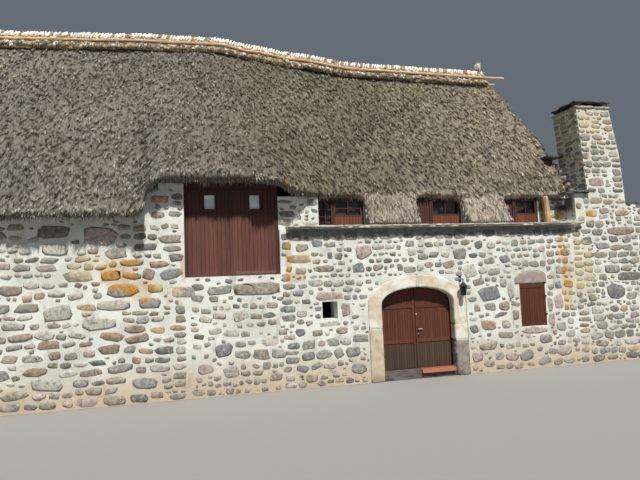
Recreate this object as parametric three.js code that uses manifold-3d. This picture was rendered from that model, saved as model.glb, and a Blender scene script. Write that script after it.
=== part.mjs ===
// A long thatched stone cottage of the mountains, with an arched door to the ground floor,
// a barn door at bank level, three eyebrow windows over a slate ledge and an end chimney.
// Lengths are millimetres. The facade frame has X along the front from the middle of the
// arched door, Y into the house from the face of the front wall, and Z up from the door sill.

import * as THREE from 'three';
import { mergeVertices } from 'three/addons/utils/BufferGeometryUtils.js';
import Module from 'manifold-3d';

const wasm = await Module();
wasm.setup();

// Driving dimensions of the walls
const BASE = -200; // lowest ground line along the walls
const LEFT = -12800; // outer face of the left gable
const RIGHT = 5740; // outer face of the right gable
const DEPTH = 8100; // outer face of the back wall
const WALL = 750;
const LEDGE_UNDER = 4060; // top of the lower front wall
const LEDGE_TOP = 4130;
const UPPER_FACE = 450; // face of the thin wall above the ledge
const NOTCH_TOP = 4980; // thatch cut over the eyebrow windows
const FLOOR_UPPER = 2860;
const FLOOR_THICK = 200;
const SEAT = 0.5; // gap left between a seat and what rests on it
const CUT_GAP = 0.3; // gap round a stone set into its pocket

// Driving dimensions of the openings
const ARCH_HALF = 1090;
const ARCH_SPRING = 1920;
const ARCH_RISE = 430;
const STONE_OUT = 1500; // half width over the dressed stones
const STONE_RISE = 800;
const STONE_DEEP = 290;
const STONE_PROUD = 20;
const EMBRASURE_HALF = 1250;
const EMBRASURE_TOP = 2480;
const BARN = { left: -6380, right: -3900, sill: FLOOR_UPPER, head: 5250 };
const SHUTTER = { left: 3270, right: 4140, sill: 1050, head: 2300 };
const VENT = { left: -2800, right: -2370, sill: 1600, head: 2070 };
const UPPER_WINDOWS = [
  { name: 'upper_window_left', left: -2770, right: -1350 },
  { name: 'upper_window_middle', left: 210, right: 1750 },
  { name: 'upper_window_right', left: 3100, right: 4420 },
];
const BACK_WINDOWS = [
  { name: 'back_shutter_upper_left', left: -8600, sill: 3300 },
  { name: 'back_shutter_upper_right', left: 600, sill: 3300 },
  { name: 'back_shutter_lower', left: -4000, sill: 900 },
];
const BACK_WINDOW_WIDE = 870;
const BACK_WINDOW_HIGH = 1050;

// Driving dimensions of the roof
const RIDGE_Y = DEPTH / 2;
const THATCH_LEVEL = 340; // thickness of the thatch measured level
const THATCH_PLUMB = 580; // thickness at the ridge measured plumb
const HALF_HIP = 6600; // top of the stone gables
const REF_Z = 5000; // height at which the slopes' places are given
const CORNER_BLOCK = { left: 5440, back: 230, low: 4960, high: 5040 };

// Finishes
const paint = (color, roughness, metalness = 0) =>
  new THREE.MeshStandardMaterial({ color, roughness, metalness });
const rubble = () => paint(0xa39d90, 0.95);
const dressed = () => paint(0xcbb894, 0.9);
const slate = () => paint(0x45484a, 0.8);
const thatch = () => paint(0x7b6f60, 1);
const straw = () => paint(0xb79d6f, 1);
const brownWood = () => paint(0x693a2a, 0.75);
const paleWood = () => paint(0xb48a55, 0.8);
const floorWood = () => paint(0x7a6147, 0.85);
const iron = () => paint(0x23272c, 0.5, 0.8);
const glass = () => paint(0x8fa3ad, 0.1);

const house = new THREE.Group();

function add(name, geometry, material) {
  const mesh = new THREE.Mesh(geometry, material);
  mesh.name = name;
  house.add(mesh);
  return mesh;
}

// Solids for joining and cutting
function solid(geometry) {
  const bare = new THREE.BufferGeometry();
  bare.setAttribute('position', geometry.getAttribute('position').clone());
  if (geometry.index) bare.setIndex(geometry.index.clone());
  const merged = mergeVertices(bare, 1e-3);
  const mesh = new wasm.Mesh({
    numProp: 3,
    vertProperties: Float32Array.from(merged.getAttribute('position').array),
    triVerts: Uint32Array.from(merged.index.array),
  });
  mesh.merge();
  return new wasm.Manifold(mesh);
}

function shaped(manifold) {
  const mesh = manifold.getMesh();
  const geometry = new THREE.BufferGeometry();
  geometry.setAttribute('position', new THREE.BufferAttribute(mesh.vertProperties, 3));
  geometry.setIndex(new THREE.BufferAttribute(mesh.triVerts, 1));
  geometry.computeVertexNormals();
  return geometry;
}

const joined = (geometries) => geometries.map(solid).reduce((whole, piece) => whole.add(piece));

function block(x0, x1, y0, y1, z0, z1) {
  const geometry = new THREE.BoxGeometry(x1 - x0, y1 - y0, z1 - z0);
  return geometry.translate((x0 + x1) / 2, (y0 + y1) / 2, (z0 + z1) / 2);
}

function outline(points) {
  return new THREE.Shape(points.map(([a, b]) => new THREE.Vector2(a, b)));
}

// Prisms: an outline drawn in one plane and run along the axis across it
function prismZ(shape, z0, z1) {
  return new THREE.ExtrudeGeometry(shape, { depth: z1 - z0, bevelEnabled: false, curveSegments: 16 })
    .translate(0, 0, z0);
}

function prismY(shape, y0, y1) {
  return new THREE.ExtrudeGeometry(shape, { depth: y1 - y0, bevelEnabled: false, curveSegments: 16 })
    .rotateX(Math.PI / 2)
    .translate(0, y1, 0);
}

function prismX(shape, x0, x1) {
  return new THREE.ExtrudeGeometry(shape, { depth: x1 - x0, bevelEnabled: false, curveSegments: 16 })
    .rotateY(Math.PI / 2)
    .rotateX(Math.PI / 2)
    .translate(x0, 0, 0);
}

// Value along X through a few stations, eased between them
function along(stations, x) {
  if (x <= stations[0][0]) return stations[0][1];
  for (let i = 1; i < stations.length; i += 1) {
    const [x0, v0] = stations[i - 1];
    const [x1, v1] = stations[i];
    if (x <= x1) return THREE.MathUtils.lerp(v0, v1, THREE.MathUtils.smoothstep(x, x0, x1));
  }
  return stations[stations.length - 1][1];
}

// The hand-laid roof: ridge height, eave height and the front slope's place change along the house
const RIDGE_LINE = [
  [-11400, 10780], [-10200, 10850], [-7400, 10980], [-5100, 11020], [-4200, 10850],
  [-2600, 10660], [-300, 10430], [3900, 10400],
];
const FRONT_PLACE = [[-7700, -140], [-6900, -560], [-4100, -560], [-1900, 240]];
const FRONT_EAVE = [
  [-7360, 4420], [-7300, 5020], [-7000, 5310], [-4750, 5310], [-4000, 5240], [-3850, 5200],
  [-3600, 5000], [-3500, LEDGE_TOP + SEAT],
];
const APRON_FOOT = -200; // outer foot of the thatch aprons on the ledge
const APRON_START = -3500;
// The eave over the barn door swells out and shades it; the swelling ends higher up the slope
const SWELL = [[-7500, 0], [-6950, 340], [-4100, 340], [-3850, 220], [-3200, 0]];
const SWELL_TOP = 7600;
const BACK_PLACE = DEPTH + 140;
const BACK_EAVE = 4420;
const ridgeZ = (x) => along(RIDGE_LINE, x);
const frontY = (x) => along(FRONT_PLACE, x);

// Where the thatch ends over the gables, at a height
const RIGHT_VERGE = [
  [4130, 5470], [5200, 5500], [6900, 5740], [8600, 5400], [9300, 5260], [10400, 5050],
];
const LEFT_VERGE = [[4130, -12950], [7000, -12950], [8600, -12600], [10720, -12100]];
const rightVerge = (z) => along(RIGHT_VERGE, z);
const leftVerge = (z) => along(LEFT_VERGE, z);

const slopeY = (z, y0, x, drop) =>
  y0 + ((z - REF_Z) / (ridgeZ(x) - drop - REF_Z)) * (RIDGE_Y - y0);
const frontOuter = (x, z) => slopeY(z, frontY(x), x, 0);
const frontInner = (x, z) => slopeY(z, frontY(x) + THATCH_LEVEL, x, THATCH_PLUMB);
const backOuter = (x, z) => slopeY(z, BACK_PLACE, x, 0);
const backInner = (x, z) => slopeY(z, BACK_PLACE - THATCH_LEVEL, x, THATCH_PLUMB);

// Height of the thatch's underside over a point of the plan
function undersideZ(x, y) {
  const front = y < RIDGE_Y;
  const y0 = front ? frontY(x) + THATCH_LEVEL : BACK_PLACE - THATCH_LEVEL;
  return REF_Z + ((y - y0) / (RIDGE_Y - y0)) * (ridgeZ(x) - THATCH_PLUMB - REF_Z);
}

// A height inside the thatch, from which a wall's top is then cut down to its underside
const BITE = 150;
const insideThatch = (x, y) => undersideZ(x, y) + BITE;

// A layer of thatch: a box of many cells, bent so that its faces follow the slope
const ROOF_STATIONS = [
  -12950, -12500, -12000, -11400, -10800, -10200, -9600, -9000, -8500, -8000, -7700, -7500, -7360,
  -7300, -7150, -7000, -6600, -6000, -5400, -5100, -4750, -4500, -4200, -4000, -3850, -3600, -3500,
  -3200, -2900, -2600, -2200, -1800, -1350, -800, -300, 210, 900, 1750, 2400, 3100, 3900, 4500, 5000,
  5500,
];
const SLOPE_ROWS = 16;

// Bunches of straw swell and sink along the outer face, but not at its eave or under the ridge cap
const BUNCH = { high: 45, along: 150, turn: 2.3, clear: 850 };

function bunch(x, z, row) {
  if (row < 2 || ridgeZ(x) - z < BUNCH.clear) return 0;
  return BUNCH.high * Math.sin(x / BUNCH.along + row * BUNCH.turn);
}

function bentLayer(stations, rows, place) {
  const cells = stations.length - 1;
  const geometry = new THREE.BoxGeometry(cells, 1, rows, cells, 1, rows);
  const position = geometry.getAttribute('position');
  const point = new THREE.Vector3();
  for (let i = 0; i < position.count; i += 1) {
    point.fromBufferAttribute(position, i);
    const station = stations[Math.round(point.x + cells / 2)];
    const side = point.y > 0 ? 1 : -1;
    const row = Math.round(point.z + rows / 2);
    position.setXYZ(i, ...place(station, side, row));
  }
  return geometry;
}

// X of a station once the ends are drawn in to the verges
function vergeX(x, z) {
  const first = ROOF_STATIONS[0];
  const last = ROOF_STATIONS[ROOF_STATIONS.length - 1];
  const inLeft = -11400;
  const inRight = 3900;
  if (x < inLeft) return inLeft + ((x - inLeft) / (first - inLeft)) * (leftVerge(z) - inLeft);
  if (x > inRight) return inRight + ((x - inRight) / (last - inRight)) * (rightVerge(z) - inRight);
  return x;
}

function frontThatch(x, side, row) {
  const eave = along(FRONT_EAVE, x);
  const second = Math.max(REF_Z, eave + 350);
  const drop = side > 0 ? THATCH_PLUMB : 0;
  const top = ridgeZ(x) - drop;
  const z = row === 0 ? eave : THREE.MathUtils.lerp(second, top, (row - 1) / (SLOPE_ROWS - 1));
  const swell = along(SWELL, x) * (1 - THREE.MathUtils.smoothstep(z, REF_Z, SWELL_TOP));
  let y = side > 0 ? frontInner(x, z) : frontOuter(x, z) - bunch(x, z, row) - swell;
  if (row === 0 && x >= APRON_START) y = side > 0 ? APRON_FOOT + 400 : APRON_FOOT;
  if (row === SLOPE_ROWS) y = RIDGE_Y - SEAT;
  return [vergeX(x, z), y, z];
}

function backThatch(x, side, row) {
  const second = BACK_EAVE + 500;
  const drop = side < 0 ? THATCH_PLUMB : 0;
  const top = ridgeZ(x) - drop;
  const z = row === 0 ? BACK_EAVE : THREE.MathUtils.lerp(second, top, (row - 1) / (SLOPE_ROWS - 1));
  let y = side < 0 ? backInner(x, z) : backOuter(x, z) + bunch(x, z, row);
  if (row === SLOPE_ROWS) y = RIDGE_Y + SEAT;
  return [vergeX(x, z), y, z];
}

function cutThatchFront() {
  const notches = [
    block(-3610, UPPER_WINDOWS[0].right, -1000, 2000, 3900, NOTCH_TOP),
    block(UPPER_WINDOWS[1].left, UPPER_WINDOWS[1].right, -1000, 2000, 3900, NOTCH_TOP),
    block(UPPER_WINDOWS[2].left, 6000, -1000, 2000, 3900, NOTCH_TOP),
  ];
  return notches.reduce(
    (whole, notch) => whole.subtract(solid(notch)),
    solid(bentLayer(ROOF_STATIONS, SLOPE_ROWS, frontThatch)),
  );
}

const thatchFront = cutThatchFront();
const thatchBack = solid(bentLayer(ROOF_STATIONS, SLOPE_ROWS, backThatch));
const thatchCut = thatchFront
  .translate([0, 0, -SEAT])
  .add(thatchFront.translate([0, -SEAT, 0]))
  .add(thatchBack.translate([0, 0, -SEAT]))
  .add(thatchBack.translate([0, SEAT, 0]));

// A wall or timber whose top is cut to lie just under the thatch
const underThatch = (manifold) => manifold.subtract(thatchCut);

// Thatch over the gables above the stone: a leaning layer between the two slopes
const HIP_RIGHT = 5000;
const HIP_LEFT = -12100;
const HIP_THICK = 300;
const HIP_ROWS = 8;

function hipThatch(end, verge, sign) {
  const rows = HIP_ROWS;
  const top = ridgeZ(end) - THATCH_PLUMB - 60;
  const geometry = new THREE.BoxGeometry(1, 1, rows, 1, 1, rows);
  const position = geometry.getAttribute('position');
  for (let i = 0; i < position.count; i += 1) {
    const z = THREE.MathUtils.lerp(HALF_HIP, top, position.getZ(i) / rows + 0.5);
    const outside = position.getX(i) * sign > 0;
    const x = verge(z) - (outside ? 0 : sign * HIP_THICK);
    const y = position.getY(i) < 0 ? frontInner(end, z) + SEAT : backInner(end, z) - SEAT;
    position.setXYZ(i, x, y, z);
  }
  return geometry;
}

function hips() {
  add('thatch_hip_right', hipThatch(HIP_RIGHT, rightVerge, 1), thatch());
  add('thatch_hip_left', hipThatch(HIP_LEFT, leftVerge, -1), thatch());
}

// Ridge: a saddle of new straw with a pole pinned along each side and a tuft at its right end
const CAP = { half: 470, fall: 560, thick: 170, flat: 60 };
const CAP_LEFT = -12080;
const CAP_RIGHT = 5030;
const POLE_R = 45;
const POLE_OUT = 330;
const POLE_LEFT = -12250;
const POLE_RIGHT = 5750;
const POLE_SETTLE = 1; // how far the flats of the pole let it come down

function capLower(offset) {
  return -(Math.abs(offset) / CAP.half) * CAP.fall + 2 * SEAT;
}

function capUpper(offset) {
  const run = Math.max(0, Math.abs(offset) - CAP.flat);
  return CAP.thick - (run / (CAP.half - CAP.flat)) * (CAP.fall + 60);
}

const ridgeStations = ROOF_STATIONS.filter((x) => x > CAP_LEFT && x < CAP_RIGHT);
const capStations = [CAP_LEFT, ...ridgeStations, CAP_RIGHT];
const CAP_OFFSETS = [-CAP.half, -CAP.flat, 0, CAP.flat, CAP.half];

function ridgeCap() {
  const cells = capStations.length - 1;
  const across = CAP_OFFSETS.length - 1;
  const geometry = new THREE.BoxGeometry(cells, across, 1, cells, across, 1);
  const position = geometry.getAttribute('position');
  for (let i = 0; i < position.count; i += 1) {
    const x = capStations[Math.round(position.getX(i) + cells / 2)];
    const offset = CAP_OFFSETS[Math.round(position.getY(i) + across / 2)];
    const rise = position.getZ(i) > 0 ? capUpper(offset) : capLower(offset);
    position.setXYZ(i, x, RIDGE_Y + offset, ridgeZ(x) + rise);
  }
  add('ridge_cap', geometry, straw());
}

// A round pole that follows the ridge line, lying on the saddle
function ridgePole(name, side) {
  const stations = [POLE_LEFT, ...capStations, POLE_RIGHT];
  const cells = stations.length - 1;
  const slope = Math.atan2(CAP.fall + 60, CAP.half - CAP.flat);
  const reach = POLE_R + SEAT - POLE_SETTLE;
  const lift = capUpper(POLE_OUT) + reach / Math.cos(slope);
  const geometry = new THREE.CylinderGeometry(POLE_R, POLE_R, cells, 8, cells);
  geometry.rotateZ(-Math.PI / 2);
  const position = geometry.getAttribute('position');
  for (let i = 0; i < position.count; i += 1) {
    const x = stations[Math.round(position.getX(i) + cells / 2)];
    const y = RIDGE_Y + side * POLE_OUT + position.getY(i);
    position.setXYZ(i, x, y, ridgeZ(x) + lift + position.getZ(i));
  }
  add(name, geometry, paleWood());
}

const TUFT_X = 4880;

function ridgeTuft() {
  const profile = [[0, 0], [55, 0], [70, 40], [120, 260], [150, 420], [0, 470]];
  const points = profile.map(([r, h]) => new THREE.Vector2(r, h));
  const tuft = new THREE.LatheGeometry(points, 12).rotateX(Math.PI / 2);
  add('ridge_tuft', tuft.translate(TUFT_X, RIDGE_Y, ridgeZ(TUFT_X) + CAP.thick + SEAT), straw());
}

// Timbers that carry the thatch: coupled rafters, tied at the wall heads, and a ridge beam
const TRUSS_PLACES = [-10900, -8300, -5700, -2100, 1500];
const TRUSS_WIDE = 160;
const RAFTER_PLUMB = 400; // depth of a rafter measured plumb
const TIE_LOW = 5000;
const TIE_HIGH = 5180;
const HEAD_LOW = 9200; // underside of the truss heads, which the ridge beam passes through
const BEAM_TOP = 9500;
const BEAM_HALF = 90;

function trussShape(x) {
  const apex = ridgeZ(x) - THATCH_PLUMB;
  const frontFoot = WALL + SEAT;
  const backFoot = DEPTH - WALL - SEAT;
  const top = (y) => insideThatch(x, y);
  const shape = outline([
    [frontFoot, TIE_LOW], [backFoot, TIE_LOW], [backFoot, top(backFoot)],
    [RIDGE_Y, apex + BITE], [frontFoot, top(frontFoot)],
  ]);
  const frontLeg = Math.max(frontInner(x, TIE_HIGH + RAFTER_PLUMB), frontFoot + 150);
  const backLeg = Math.min(backInner(x, TIE_HIGH + RAFTER_PLUMB), backFoot - 150);
  const under = (y) => Math.max(undersideZ(x, y) - RAFTER_PLUMB, TIE_HIGH + 30);
  shape.holes.push(outline([
    [frontLeg, TIE_HIGH], [frontLeg, under(frontLeg)], [RIDGE_Y, HEAD_LOW],
    [backLeg, under(backLeg)], [backLeg, TIE_HIGH],
  ]));
  return shape;
}

function roofFrame() {
  const half = TRUSS_WIDE / 2;
  const trusses = TRUSS_PLACES.map((x) => prismX(trussShape(x), x - half, x + half));
  const [first] = TRUSS_PLACES;
  const last = TRUSS_PLACES.at(-1);
  const beam = block(first, last, RIDGE_Y - BEAM_HALF, RIDGE_Y + BEAM_HALF, HEAD_LOW + 40, BEAM_TOP);
  add('roof_frame', shaped(underThatch(joined([...trusses, beam]))), floorWood());
}

// Stone walls
function slopedTop(x, y0, y1, low) {
  return outline([[y0, low], [y1, low], [y1, insideThatch(x, y1)], [y0, insideThatch(x, y0)]]);
}

function lintelShape(grow) {
  const shape = new THREE.Shape();
  const left = SHUTTER.left - 150 - grow;
  const right = SHUTTER.right + 60 + grow;
  const shoulder = SHUTTER.head + 260;
  const crown = SHUTTER.head + 450 + grow;
  shape.moveTo(left, SHUTTER.head - grow);
  shape.lineTo(right, SHUTTER.head - grow);
  shape.lineTo(right, shoulder);
  shape.bezierCurveTo(right - 60, crown + 10, left + 180, crown + 10, left, shoulder - 90);
  shape.closePath();
  return shape;
}

function cornerBlock() {
  const c = CORNER_BLOCK;
  return prismX(outline([
    [0, LEDGE_UNDER], [WALL, LEDGE_UNDER], [WALL, c.low], [c.back, c.low], [c.back, c.high], [0, c.high],
  ]), c.left, RIGHT);
}

function pier(x0, x1, y0, top) {
  return prismX(outline([
    [y0, LEDGE_UNDER], [WALL, LEDGE_UNDER], [WALL, top(WALL)], [y0, top(y0)],
  ]), x0, x1);
}

// Half of what lies under the arch's outer line
function underArch(halfWide, rise) {
  const shape = new THREE.Shape();
  shape.moveTo(-1, ARCH_SPRING - 100);
  shape.lineTo(halfWide, ARCH_SPRING - 100);
  shape.lineTo(halfWide, ARCH_SPRING);
  shape.absellipse(0, ARCH_SPRING, halfWide, rise, 0, Math.PI / 2, false);
  shape.lineTo(-1, ARCH_SPRING + rise);
  shape.closePath();
  return shape;
}

function frontWalls() {
  const farLeft = prismX(slopedTop(-9000, 0, WALL, BASE), LEFT, -7400);
  const nearDoor = prismX(slopedTop(-7400, 0, WALL, BASE), -7400, -7000);
  const besideDoor = prismX(outline([
    [0, BASE], [WALL, BASE], [WALL, insideThatch(BARN.left, WALL)], [0, insideThatch(BARN.left, 0)],
  ]), -7000, BARN.left);
  const underDoor = block(BARN.left, BARN.right, 0, WALL, BASE, BARN.sill);
  const wall = joined([farLeft, nearDoor, besideDoor, underDoor]);
  add('front_wall_left', shaped(underThatch(wall)), rubble());

  const overBarn = prismX(slopedTop(-5500, 140, WALL, BARN.head), BARN.left, BARN.right);
  add('barn_door_lintel', shaped(underThatch(solid(overBarn))), brownWood());

  const middlePlan = outline([
    [BARN.right, 0], [-STONE_OUT, 0], [-STONE_OUT, STONE_DEEP], [-EMBRASURE_HALF, STONE_DEEP],
    [-EMBRASURE_HALF, WALL], [BARN.right, WALL],
  ]);
  const level = () => NOTCH_TOP - SEAT;
  const middle = joined([
    prismZ(middlePlan, BASE, LEDGE_UNDER),
    pier(BARN.right, UPPER_WINDOWS[0].left, 150, level),
  ]).subtract(solid(block(VENT.left, VENT.right, -100, WALL + 100, VENT.sill, VENT.head)));
  add('front_wall_middle', shaped(underThatch(middle)), rubble());

  const inThatch = (y) => insideThatch(0, y);
  const pocket = solid(prismY(underArch(STONE_OUT + CUT_GAP, STONE_RISE + CUT_GAP), -100, STONE_DEEP));
  const [, apronA, apronB] = UPPER_WINDOWS;
  const overArch = joined([
    block(-STONE_OUT, STONE_OUT, 0, STONE_DEEP, ARCH_SPRING, LEDGE_UNDER),
    block(-EMBRASURE_HALF, EMBRASURE_HALF, STONE_DEEP, WALL, EMBRASURE_TOP, LEDGE_UNDER),
    pier(UPPER_WINDOWS[0].right, apronA.left, UPPER_FACE, inThatch),
  ]).subtract(pocket).subtract(pocket.mirror([1, 0, 0]));
  add('front_wall_over_arch', shaped(underThatch(overArch)), rubble());

  const rightPlan = outline([
    [STONE_OUT, 0], [RIGHT, 0], [RIGHT, WALL], [EMBRASURE_HALF, WALL], [EMBRASURE_HALF, STONE_DEEP],
    [STONE_OUT, STONE_DEEP],
  ]);
  const right = joined([
    prismZ(rightPlan, BASE, LEDGE_UNDER),
    pier(apronA.right, apronB.left, UPPER_FACE, inThatch),
    pier(apronB.right, CORNER_BLOCK.left + 5, UPPER_FACE, level),
    cornerBlock(),
  ])
    .subtract(solid(block(SHUTTER.left, SHUTTER.right, -100, WALL + 100, SHUTTER.sill, SHUTTER.head)))
    .subtract(solid(prismY(lintelShape(CUT_GAP), -100, WALL + 100)));
  add('front_wall_right', shaped(underThatch(right)), rubble());
  add('window_lintel', prismY(lintelShape(0), -STONE_PROUD, WALL), dressed());
}

function backWall() {
  let wall = solid(prismX(slopedTop(0, DEPTH - WALL, DEPTH, BASE), LEFT, RIGHT));
  for (const { name, left, sill } of BACK_WINDOWS) {
    const filling = (y0, y1) => block(left, left + BACK_WINDOW_WIDE, y0, y1, sill, sill + BACK_WINDOW_HIGH);
    wall = wall.subtract(solid(filling(DEPTH - WALL - 100, DEPTH + 100)));
    add(name, filling(DEPTH - 90, DEPTH - 35), brownWood());
  }
  add('back_wall', shaped(underThatch(wall)), rubble());
}

function gableWall(name, x0, x1) {
  const front = WALL;
  const back = DEPTH - WALL;
  const x = (x0 + x1) / 2;
  const shape = outline([
    [front, BASE], [back, BASE], [back, insideThatch(x, back)],
    [backInner(x, HALF_HIP - BITE), HALF_HIP], [frontInner(x, HALF_HIP - BITE), HALF_HIP],
    [front, insideThatch(x, front)],
  ]);
  add(name, shaped(underThatch(solid(prismX(shape, x0, x1)))), rubble());
}

// Chimney: a shouldered breast flush with the facade, a leaning stack with an open flue, and its cap
const BREAST = { right: 8000, deep: 2200, shoulder: 4700, top: 5040, step: 7330 };
const STACK = {
  left: 5940, right: 7315, deep: 1100, top: 7790, leftTop: 5760, rightTop: 6980, mid: 6240, rightMid: 7250,
};
const FLUE = 460;
const CAP_STONE = 90; // thickness of the flat stones on the stack
const HOOD_LIFT = 110; // height of the four stones that carry the hood
const HOOD_STONE = 200; // their width
const HOOD_SLATE = 60;

function stackShape() {
  const s = STACK;
  return outline([
    [s.left, BREAST.top], [s.right, BREAST.top], [s.rightMid, s.mid], [s.rightTop, s.top],
    [s.leftTop, s.top],
  ]);
}

function chimney() {
  const b = BREAST;
  const breast = outline([
    [RIGHT, BASE], [b.right, BASE], [b.right, b.shoulder], [b.step, b.shoulder], [STACK.right, b.top],
    [RIGHT, b.top],
  ]);
  add('chimney_breast', prismY(breast, 0, b.deep), rubble());
  const shoulder = block(b.step + 10, b.right + 60, -50, b.deep + 50, b.shoulder, b.shoulder + 60);
  add('shoulder_slab', shoulder, slate());
  const middle = (STACK.leftTop + STACK.rightTop) / 2;
  const near = (STACK.deep - FLUE) / 2;
  const left = middle - FLUE / 2;
  const hole = block(left, left + FLUE, near, near + FLUE, b.top + 260, STACK.top + 1000);
  const stack = solid(prismY(stackShape(), 0, STACK.deep)).subtract(solid(hole));
  add('chimney_stack', shaped(stack), rubble());
  const rim = (grow, z0, z1) =>
    block(STACK.leftTop - grow, STACK.rightTop + grow, -grow, STACK.deep + grow, z0, z1);
  const capTop = STACK.top + CAP_STONE;
  const cap = solid(rim(50, STACK.top, capTop)).subtract(solid(hole));
  add('chimney_cap', shaped(cap), dressed());
  const posts = [];
  for (const x of [STACK.leftTop + 10, STACK.rightTop - HOOD_STONE - 10]) {
    for (const y of [10, STACK.deep - HOOD_STONE - 10]) {
      posts.push(block(x, x + HOOD_STONE, y, y + HOOD_STONE, capTop, capTop + HOOD_LIFT));
    }
  }
  const slab = rim(40, capTop + HOOD_LIFT - 5, capTop + HOOD_LIFT - 5 + HOOD_SLATE);
  add('chimney_hood', shaped(joined([...posts, slab])), slate());
}

// Slates that throw rain clear of the walls
function slates() {
  const ledge = outline([
    [-3720, -200], [5500, -200], [5500, 0], [CORNER_BLOCK.left, 0], [CORNER_BLOCK.left, UPPER_FACE],
    [UPPER_WINDOWS[0].left, UPPER_FACE], [UPPER_WINDOWS[0].left, 150], [-3720, 150],
  ]);
  add('slate_ledge', prismZ(ledge, LEDGE_UNDER, LEDGE_TOP), slate());
  const c = CORNER_BLOCK;
  add('drip_slate', block(5110, 5930, -70, c.back - 10, c.high, c.high + 55), slate());
}

// Dressed stones of the arched doorway
function archStones() {
  const bedLow = 800;
  const bed = 1270;
  const joint = 1;
  const voussoir = (side) => {
    const shape = new THREE.Shape();
    const innerEnd = Math.acos(joint / ARCH_HALF);
    const outerEnd = Math.acos(joint / STONE_OUT);
    shape.moveTo(ARCH_HALF, bed);
    shape.lineTo(STONE_OUT, bed);
    shape.lineTo(STONE_OUT, ARCH_SPRING);
    shape.absellipse(0, ARCH_SPRING, STONE_OUT, STONE_RISE, 0, outerEnd, false);
    shape.lineTo(joint, ARCH_SPRING + ARCH_RISE * Math.sin(innerEnd));
    shape.absellipse(0, ARCH_SPRING, ARCH_HALF, ARCH_RISE, innerEnd, 0, true);
    shape.closePath();
    const stone = solid(prismY(shape, -STONE_PROUD, STONE_DEEP));
    return shaped(side > 0 ? stone : stone.mirror([1, 0, 0]));
  };
  add('arch_stone_left', voussoir(-1), dressed());
  add('arch_stone_right', voussoir(1), dressed());
  const jamb = (x0, z0, z1, proud) => block(x0, x0 + STONE_OUT - ARCH_HALF, -proud, STONE_DEEP, z0, z1);
  add('jamb_stone_left', jamb(-STONE_OUT, BASE, bed, STONE_PROUD), dressed());
  add('jamb_stone_right_upper', jamb(ARCH_HALF, bedLow, bed, STONE_PROUD), dressed());
  add('jamb_stone_right_lower', jamb(ARCH_HALF, BASE, bedLow, STONE_PROUD + 20), rubble());
  add('door_threshold', block(-ARCH_HALF, ARCH_HALF, 40, WALL, BASE, 40), brownWood());
}

// Arched double door, hung on pins behind the stones and opening inwards
const LEAF = { half: 1140, rise: 480, low: 50, front: 300, back: 355, gap: 5 };
const PIN = { x: 1190, y: 370, r: 12, eye: 22, hole: 13 };
const HINGE_HEIGHTS = [420, 1700];
const EYE_HIGH = 60;
const HANDLE = { x: 75, z: 1150, plate: 220, lever: 125 };

function round(r, z0, z1, x, y) {
  return new THREE.CylinderGeometry(r, r, z1 - z0, 24).rotateX(Math.PI / 2).translate(x, y, (z0 + z1) / 2);
}

function leaf(side) {
  const shape = new THREE.Shape();
  const end = Math.acos(LEAF.gap / LEAF.half);
  shape.moveTo(LEAF.gap, LEAF.low);
  shape.lineTo(LEAF.half, LEAF.low);
  shape.lineTo(LEAF.half, ARCH_SPRING);
  shape.absellipse(0, ARCH_SPRING, LEAF.half, LEAF.rise, 0, end, false);
  shape.closePath();
  const rail = (z0, z1) => block(LEAF.gap + 15, ARCH_HALF - 30, LEAF.front - 14, LEAF.front + 1, z0, z1);
  const pieces = [prismY(shape, LEAF.front, LEAF.back), rail(1750, 1850), rail(770, 850)];
  for (const z of HINGE_HEIGHTS) {
    const strapEnd = PIN.x - PIN.hole - 1;
    pieces.push(block(500, strapEnd, LEAF.back - 1, LEAF.back + 10, z - EYE_HIGH / 2, z + EYE_HIGH / 2));
  }
  let whole = joined(pieces);
  for (const z of HINGE_HEIGHTS) {
    const eye = solid(round(PIN.eye, z - EYE_HIGH / 2, z + EYE_HIGH / 2, PIN.x, PIN.y));
    const bore = solid(round(PIN.hole, z - EYE_HIGH, z + EYE_HIGH, PIN.x, PIN.y));
    whole = whole.add(eye).subtract(bore);
  }
  return shaped(side > 0 ? whole : whole.mirror([1, 0, 0]));
}

function doorFrame() {
  const half = EMBRASURE_HALF;
  const post = half - 30;
  const pieces = [
    block(post, half, 340, 400, 0, EMBRASURE_TOP),
    block(-half, -post, 340, 400, 0, EMBRASURE_TOP),
    block(-half, half, 340, 400, ARCH_SPRING + LEAF.rise + 15, EMBRASURE_TOP),
  ];
  for (const side of [-1, 1]) {
    for (const z of HINGE_HEIGHTS) {
      const low = z - EYE_HIGH / 2;
      const near = side * (PIN.x - 8);
      const far = side * (post + 5);
      const [x0, x1] = [Math.min(near, far), Math.max(near, far)];
      pieces.push(block(x0, x1, PIN.y - 10, PIN.y + 10, low - 18, low - 2));
      pieces.push(round(PIN.r, low - 18, low + EYE_HIGH + 6, side * PIN.x, PIN.y));
    }
  }
  return shaped(joined(pieces));
}

function archedDoor() {
  add('door_frame', doorFrame(), brownWood());
  add('arched_door_left', leaf(-1), brownWood());
  add('arched_door_right', leaf(1), brownWood());
  const { x, z, plate, lever } = HANDLE;
  const handle = joined([
    block(x - 20, x + 20, LEAF.front - 8, LEAF.front, z - plate + 50, z + 50),
    block(x - 9, x + 9, LEAF.front - 50, LEAF.front - 5, z - 9, z + 9),
    block(x - 9, x - 9 + lever, LEAF.front - 60, LEAF.front - 45, z - 9, z + 9),
  ]);
  add('door_handle', shaped(handle), paint(0xb9b9b4, 0.35, 1));
}

// Barn door of two boarded leaves in a frame, each with a small glazed hole
const BARN_FRAME = { wide: 85, front: 170, back: 290 };
const BARN_LEAF = { front: 175, back: 235, seam: -5100 };
const BARN_PANE = { half: 145, low: 4640, high: 5030, left: -5720, right: -4530 };

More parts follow.
